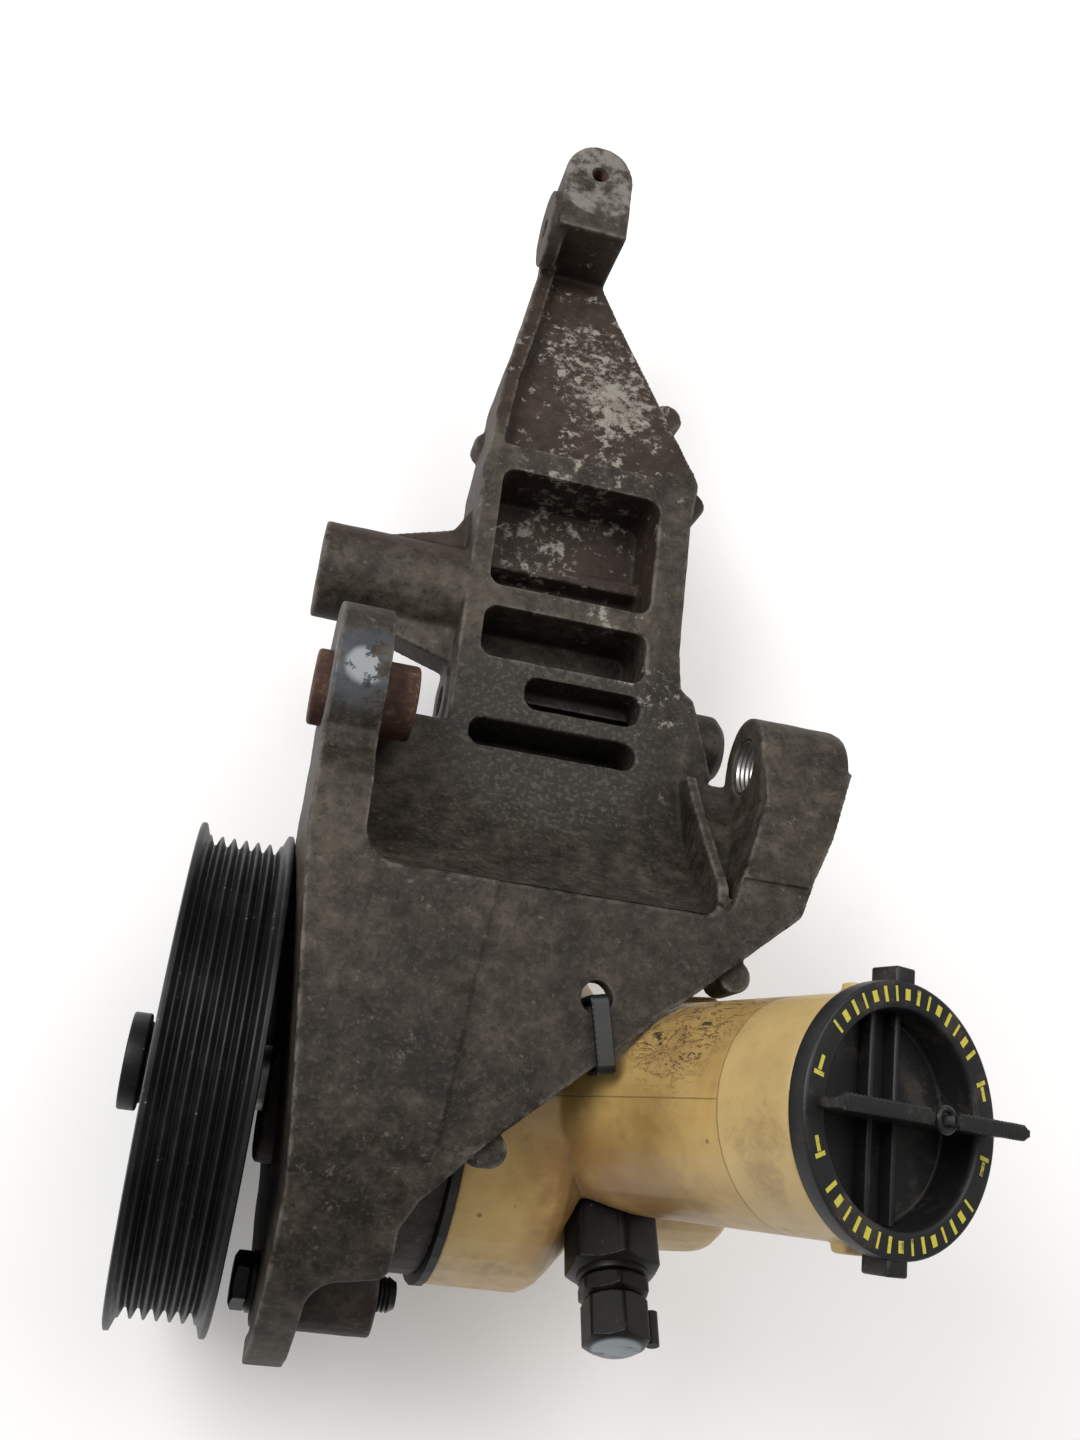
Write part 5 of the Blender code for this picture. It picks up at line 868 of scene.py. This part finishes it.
def build_grip(across, plastic):
    """The grip's web, seen from the side, and a lip with serrated edges along each wing.

    The frame's X runs through the web, Y along the grip and Z up from the cap's face.
    """
    inside = CAP_RECESS_RADIUS - 0.5 * MM
    notch = 3.6 * MM
    low = -CAP_RECESS_DEPTH - 1 * MM
    top = GRIP_HEIGHT - 1 * MM
    floor = GRIP_HEIGHT - 7.5 * MM
    view = [
        (-inside, low), (-inside, -0.8 * MM), (-GRIP_HALF_LENGTH, -0.4 * MM), (-GRIP_HALF_LENGTH, top),
        (-notch, top), (-notch / 2, floor), (notch / 2, floor), (notch, top), (GRIP_HALF_LENGTH, top),
        (GRIP_HALF_LENGTH, -0.4 * MM), (inside, -0.8 * MM), (inside, low),
    ]
    left = -1 if across[0, 1] > 0 else 1
    angle = np.linspace(0, 2 * pi, 16, endpoint=False)
    ring = np.column_stack([0.8 * MM * np.sin(angle), (2.5 + 0.8 * np.cos(angle)) * MM])
    eye = across @ frame_on((0, -left * 2.9 * MM, GRIP_HEIGHT - 3 * MM), (0, 0, 1), (1, 0, 0))
    put(turned("grip_eyelet", ring, eye, 40, closed=True), "cap", plastic, "cap_plastic")
    thick = 1.2 * MM
    view = np.array(view)
    web = slab("grip_web", view, -thick, thick, across)
    put(web, "cap", plastic, "cap_plastic")
    for side in (-1, 1):
        count = 121
        share = np.linspace(0, 1, count)
        end = GRIP_HALF_LENGTH + 0.5 * MM + (GRIP_NEAR_EXTRA if side == left else 0)
        along = notch + (end - notch) * share
        teeth = np.abs((along / (1.25 * MM)) % 1 - 0.5) * 2
        half = (1.5 * MM + 0.4 * MM * teeth) * np.clip(np.minimum(share, 1 - share) * 22, 0.55, 1)
        section = rounded([(-1, -0.5), (1, -0.5), (1, 0.5), (-1, 0.5)], 0.3, 3, closed=True)
        width = section[None, :, 0] * half[:, None]
        height = GRIP_HEIGHT - 1.1 * MM + section[None, :, 1] * 1.8 * MM + 0 * width
        grid = np.stack([width, np.broadcast_to((side * along)[:, None], width.shape), height], -1)
        caps = grid.mean(1, keepdims=True)
        grid = np.concatenate([np.broadcast_to(caps[:1], grid[:1].shape), grid,
                               np.broadcast_to(caps[-1:], grid[:1].shape)])
        lip = surface("grip_lip_" + ("near" if side < 0 else "far"), grid, across)
        put(lip, "cap", plastic, "cap_plastic")


def slab(name, outline, low, high, place):
    """An outline in Y and Z with a thickness along X; its two flat faces are many-sided."""
    count = len(outline)
    points = [np.column_stack([np.full(count, x), outline]) for x in (low, high)]
    points = np.vstack(points) @ place[:3, :3].T + place[:3, 3]
    ring = np.arange(count)
    sides = np.column_stack([ring, (ring + 1) % count, (ring + 1) % count + count, ring + count])
    mesh = bpy.data.meshes.new(name)
    faces = sides.tolist() + [ring[::-1].tolist(), (ring + count).tolist()]
    mesh.from_pydata(points.tolist(), [], faces)
    piece = close_up(name, mesh)
    modifier = piece.modifiers.new("edges", "BEVEL")
    modifier.width = 0.45 * MM
    modifier.segments = 3
    return bake(piece)


def build_marks(neck):
    """Plain yellow ticks in two arcs on the ring, and four small plain shapes between them."""
    yellow = worn_print("yellow_print", (0.5, 0.44, 0.05))
    middle = (31 * MM + CAP_RECESS_RADIUS) / 2 + 0.2 * MM
    ticks = []
    for start, stop, count in ((-52, 52, 15), (128, 232, 15)):
        for i in range(count):
            width = (1.0, 1.6, 0.7)[i % 3] * MM
            length = (3.6, 2.6, 3.6)[i % 3] * MM
            ticks.append((start + (stop - start) * i / (count - 1), width, length))
    for angle in (72, 108, -72, -108):
        ticks.append((angle, 3.4 * MM, 1.0 * MM))
        ticks.append((angle + 5, 1.0 * MM, 3.0 * MM))
    rows = []
    for angle, width, length in ticks:
        outline = np.array([(-1, -1), (1, -1), (1, 1), (-1, 1)]) / 2 * (length, width)
        turn = radians(angle)
        out = np.array([np.cos(turn), np.sin(turn)])
        side = np.array([-np.sin(turn), np.cos(turn)])
        flat = out * (middle + outline[:, :1]) + side * outline[:, 1:]
        rows.append(flat)
    flat = np.array(rows)
    heights = np.array([-0.1, 0.06]) * MM
    grid = np.stack([np.concatenate([np.full(flat.shape[:2] + (1,), h), flat], -1) for h in heights], 1)
    points = grid.reshape(-1, 3) @ neck[:3, :3].T + neck[:3, 3]
    cube = np.array([(0, 1, 2, 3), (4, 5, 6, 7), (0, 1, 5, 4), (1, 2, 6, 5), (2, 3, 7, 6), (3, 0, 4, 7)])
    faces = (np.arange(len(flat))[:, None, None] * 8 + cube[None]).reshape(-1, 4)
    mesh = bpy.data.meshes.new("cap_marks")
    mesh.from_pydata(points.tolist(), [], faces.tolist())
    put(close_up("cap_marks", mesh), "cap", yellow, "cap_plastic")


def threads(name, place, radius, length, pitch, finish, slot):
    """A tube whose bore has the ridges of a thread: its radius swings once in each pitch."""
    along = np.linspace(0, length, int(length / pitch * 6))
    bore = radius - 0.4 * MM * np.abs((along / pitch) % 1 - 0.5) * 2
    inner = np.column_stack([along, bore])
    outer = np.array([(length, radius + 0.25 * MM), (0, radius + 0.25 * MM)])
    piece = turned(name, np.vstack([inner, outer]), place, 48, closed=True)
    return put(piece, "pump", finish, slot)


def build_pivot(steel):
    brown = rust("rusty_steel", (0.024, 0.01, 0.007), (0.07, 0.031, 0.02))
    low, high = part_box("pivot_bush")
    centre = ((low.x + high.x) / 2, (low.y + high.y) / 2, (low.z + high.z) / 2)
    half = (high.x - low.x) / 2
    outer = (high.y - low.y) / 2
    line = [(-half, 5.5 * MM), (-half, outer), (half, outer), (half, 5.5 * MM)]
    place = frame_on(centre, (1, 0, 0), (0, 1, 0))
    bush = turned("bush_turning", rounded(line, 1.3 * MM, 4, closed=True), place, 96, closed=True)
    put(bush, "pump", brown, "rusty_steel", "pivot_bush")
    low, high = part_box("thread_insert")
    place = frame_on((low.x, centre[1], centre[2]), (1, 0, 0), (0, 1, 0))
    insert = threads("insert_thread", place, 8.15 * MM, high.x - low.x, 1.5 * MM, steel, "bright_steel")
    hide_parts("thread_insert")
    hole = frame_on((*LUG_TOP[:2], LUG_HOLE_FLOOR), (0, 0, 1), (1, 0, 0))
    threads("lug_thread", hole, 2.95 * MM, 25 * MM, 1 * MM, brown, "rusty_steel")


def build_bolts():
    black = black_paint("bolt_black", (0.007, 0.007, 0.008), (0.026, 0.024, 0.022), 0.34)
    for node in ("pump_bolt_1", "pump_bolt_2", "pump_bolt_3"):
        low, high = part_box(node)
        centre = (low.x, (low.y + high.y) / 2, (low.z + high.z) / 2)
        place = frame_on(centre, (-1, 0, 0), (0, 1, 0))
        head = nut(node + "_head", -4.8 * MM, 0, 13.6 * MM, 0, place, 1.2 * MM)
        put(head, "pump", black, "black_steel", node)
        length = high.x - low.x
        shank = np.linspace(-6 * MM, 1.5 * MM - length, 150)
        wave = 4.8 * MM - 0.5 * MM * np.abs((shank / (1.25 * MM)) % 1 - 0.5) * 2
        wave = np.where(shank > -18 * MM, 4.8 * MM, wave)
        line = np.vstack([
            [(-4 * MM, 0), (-4 * MM, 7 * MM), (-5 * MM, 8.1 * MM), (-6 * MM, 8.1 * MM)],
            np.column_stack([shank, wave]),
            [(-length, 3.6 * MM), (-length, 0)],
        ])
        put(turned(node + "_shank", line, place, 48), "pump", black, "black_steel")


def build_small_pieces():
    tie = black_moulding("tie_plastic", (0.006, 0.0065, 0.007), 0.3, 0.002, dusty=0.08)
    band = softened("tie_band", "cable_tie", TIE_CELL, 3)
    put(band, "pump", tie, "tie_plastic", "cable_tie")


def dress_inner(steel):
    ground = metal("ground_steel", (0.6, 0.59, 0.57), 0.25, (1, 1, 1))
    wire = metal("spring_wire", (0.36, 0.36, 0.37), 0.35, (1, 1, 1))
    bronze = metal("bronze", (0.5, 0.3, 0.12), 0.4, (1, 4, 4))
    vanes = [f"vane_{i:02d}" for i in range(1, 11)]
    dress(ground, "rotor", "cam_ring")
    dress(steel, "pressure_plate", "dowel_pin_1", "dowel_pin_2", "flow_valve", *vanes)
    dress(wire, "pressure_spring", "valve_spring")
    dress(bronze, "shaft_bush")


# Floor, light and camera

def build_stage():
    floor_height = cad_box[0].z - FLOOR_DROP
    side = 1.6
    grid = np.stack(np.meshgrid([-side, side], [-side, side], [floor_height], indexing="ij"), -1)
    floor = surface("floor", grid[:, :, 0], loop_columns=False)
    paint = Finish("floor_white", 0.6)
    paint.give("Base Color", paint.mix(paint.noise(0.3, 2), (0.86, 0.85, 0.85), (0.88, 0.875, 0.87)))
    paint.give("Emission Color", (1, 0.995, 0.99))
    paint.give("Emission Strength", 0.16)
    floor.data.materials.append(paint.material)

    world = bpy.context.scene.world or bpy.data.worlds.new("room")
    bpy.context.scene.world = world
    world.use_nodes = True
    tree = world.node_tree
    background = tree.nodes["Background"]
    background.inputs["Color"].default_value = (1, 0.99, 0.98, 1)
    rays = tree.nodes.new("ShaderNodeLightPath")
    strength = tree.nodes.new("ShaderNodeMapRange")
    strength.inputs["To Min"].default_value = 0.36
    strength.inputs["To Max"].default_value = 1
    tree.links.new(rays.outputs["Is Camera Ray"], strength.inputs["Value"])
    tree.links.new(strength.outputs["Result"], background.inputs["Strength"])

    lamp("window", (-0.55, 0.35, 0.9), 0.6, 10, (1, 1, 1))
    lamp("ceiling", (0.5, 0.5, 1.1), 0.9, 7, (1, 0.98, 0.95))
    view = bpy.context.scene.view_settings
    view.view_transform = "Standard"


def lamp(name, place, size, power, colour):
    """A square lamp that faces the middle of the pump."""
    data = bpy.data.lights.new(name, "AREA")
    data.shape = "SQUARE"
    data.size = size
    data.energy = power
    data.color = colour
    light = bpy.data.objects.new(name, data)
    middle = (cad_box[0] + cad_box[1]) / 2
    light.location = place
    light.rotation_euler = (light.location - middle).to_track_quat("Z", "Y").to_euler()
    bpy.context.scene.collection.objects.link(light)


def build_camera():
    data = bpy.data.cameras.new("camera")
    data.lens = CAMERA_LENS
    camera = bpy.data.objects.new("camera", data)
    camera.location = CAMERA_PLACE
    camera.rotation_euler = Euler([radians(a) for a in CAMERA_TURN])
    bpy.context.scene.collection.objects.link(camera)
    bpy.context.scene.camera = camera


def main():
    neck = joint_frame("cap_turn", (0, 1, 0))
    valve = joint_frame("valve_slide", (1, 0, 0))
    outlet = vertex_values(frame["nodes"]["blanking_plug"].data, "co")
    middle = (outlet.min(0) + outlet.max(0)) / 2
    valve[:3, 3] = middle
    build_castings()
    build_reservoir(neck)
    steel = build_pulley()
    build_outlet(valve)
    build_cap(neck)
    build_pivot(steel)
    build_bolts()
    build_small_pieces()
    dress_inner(steel)
    build_stage()
    build_camera()


main()
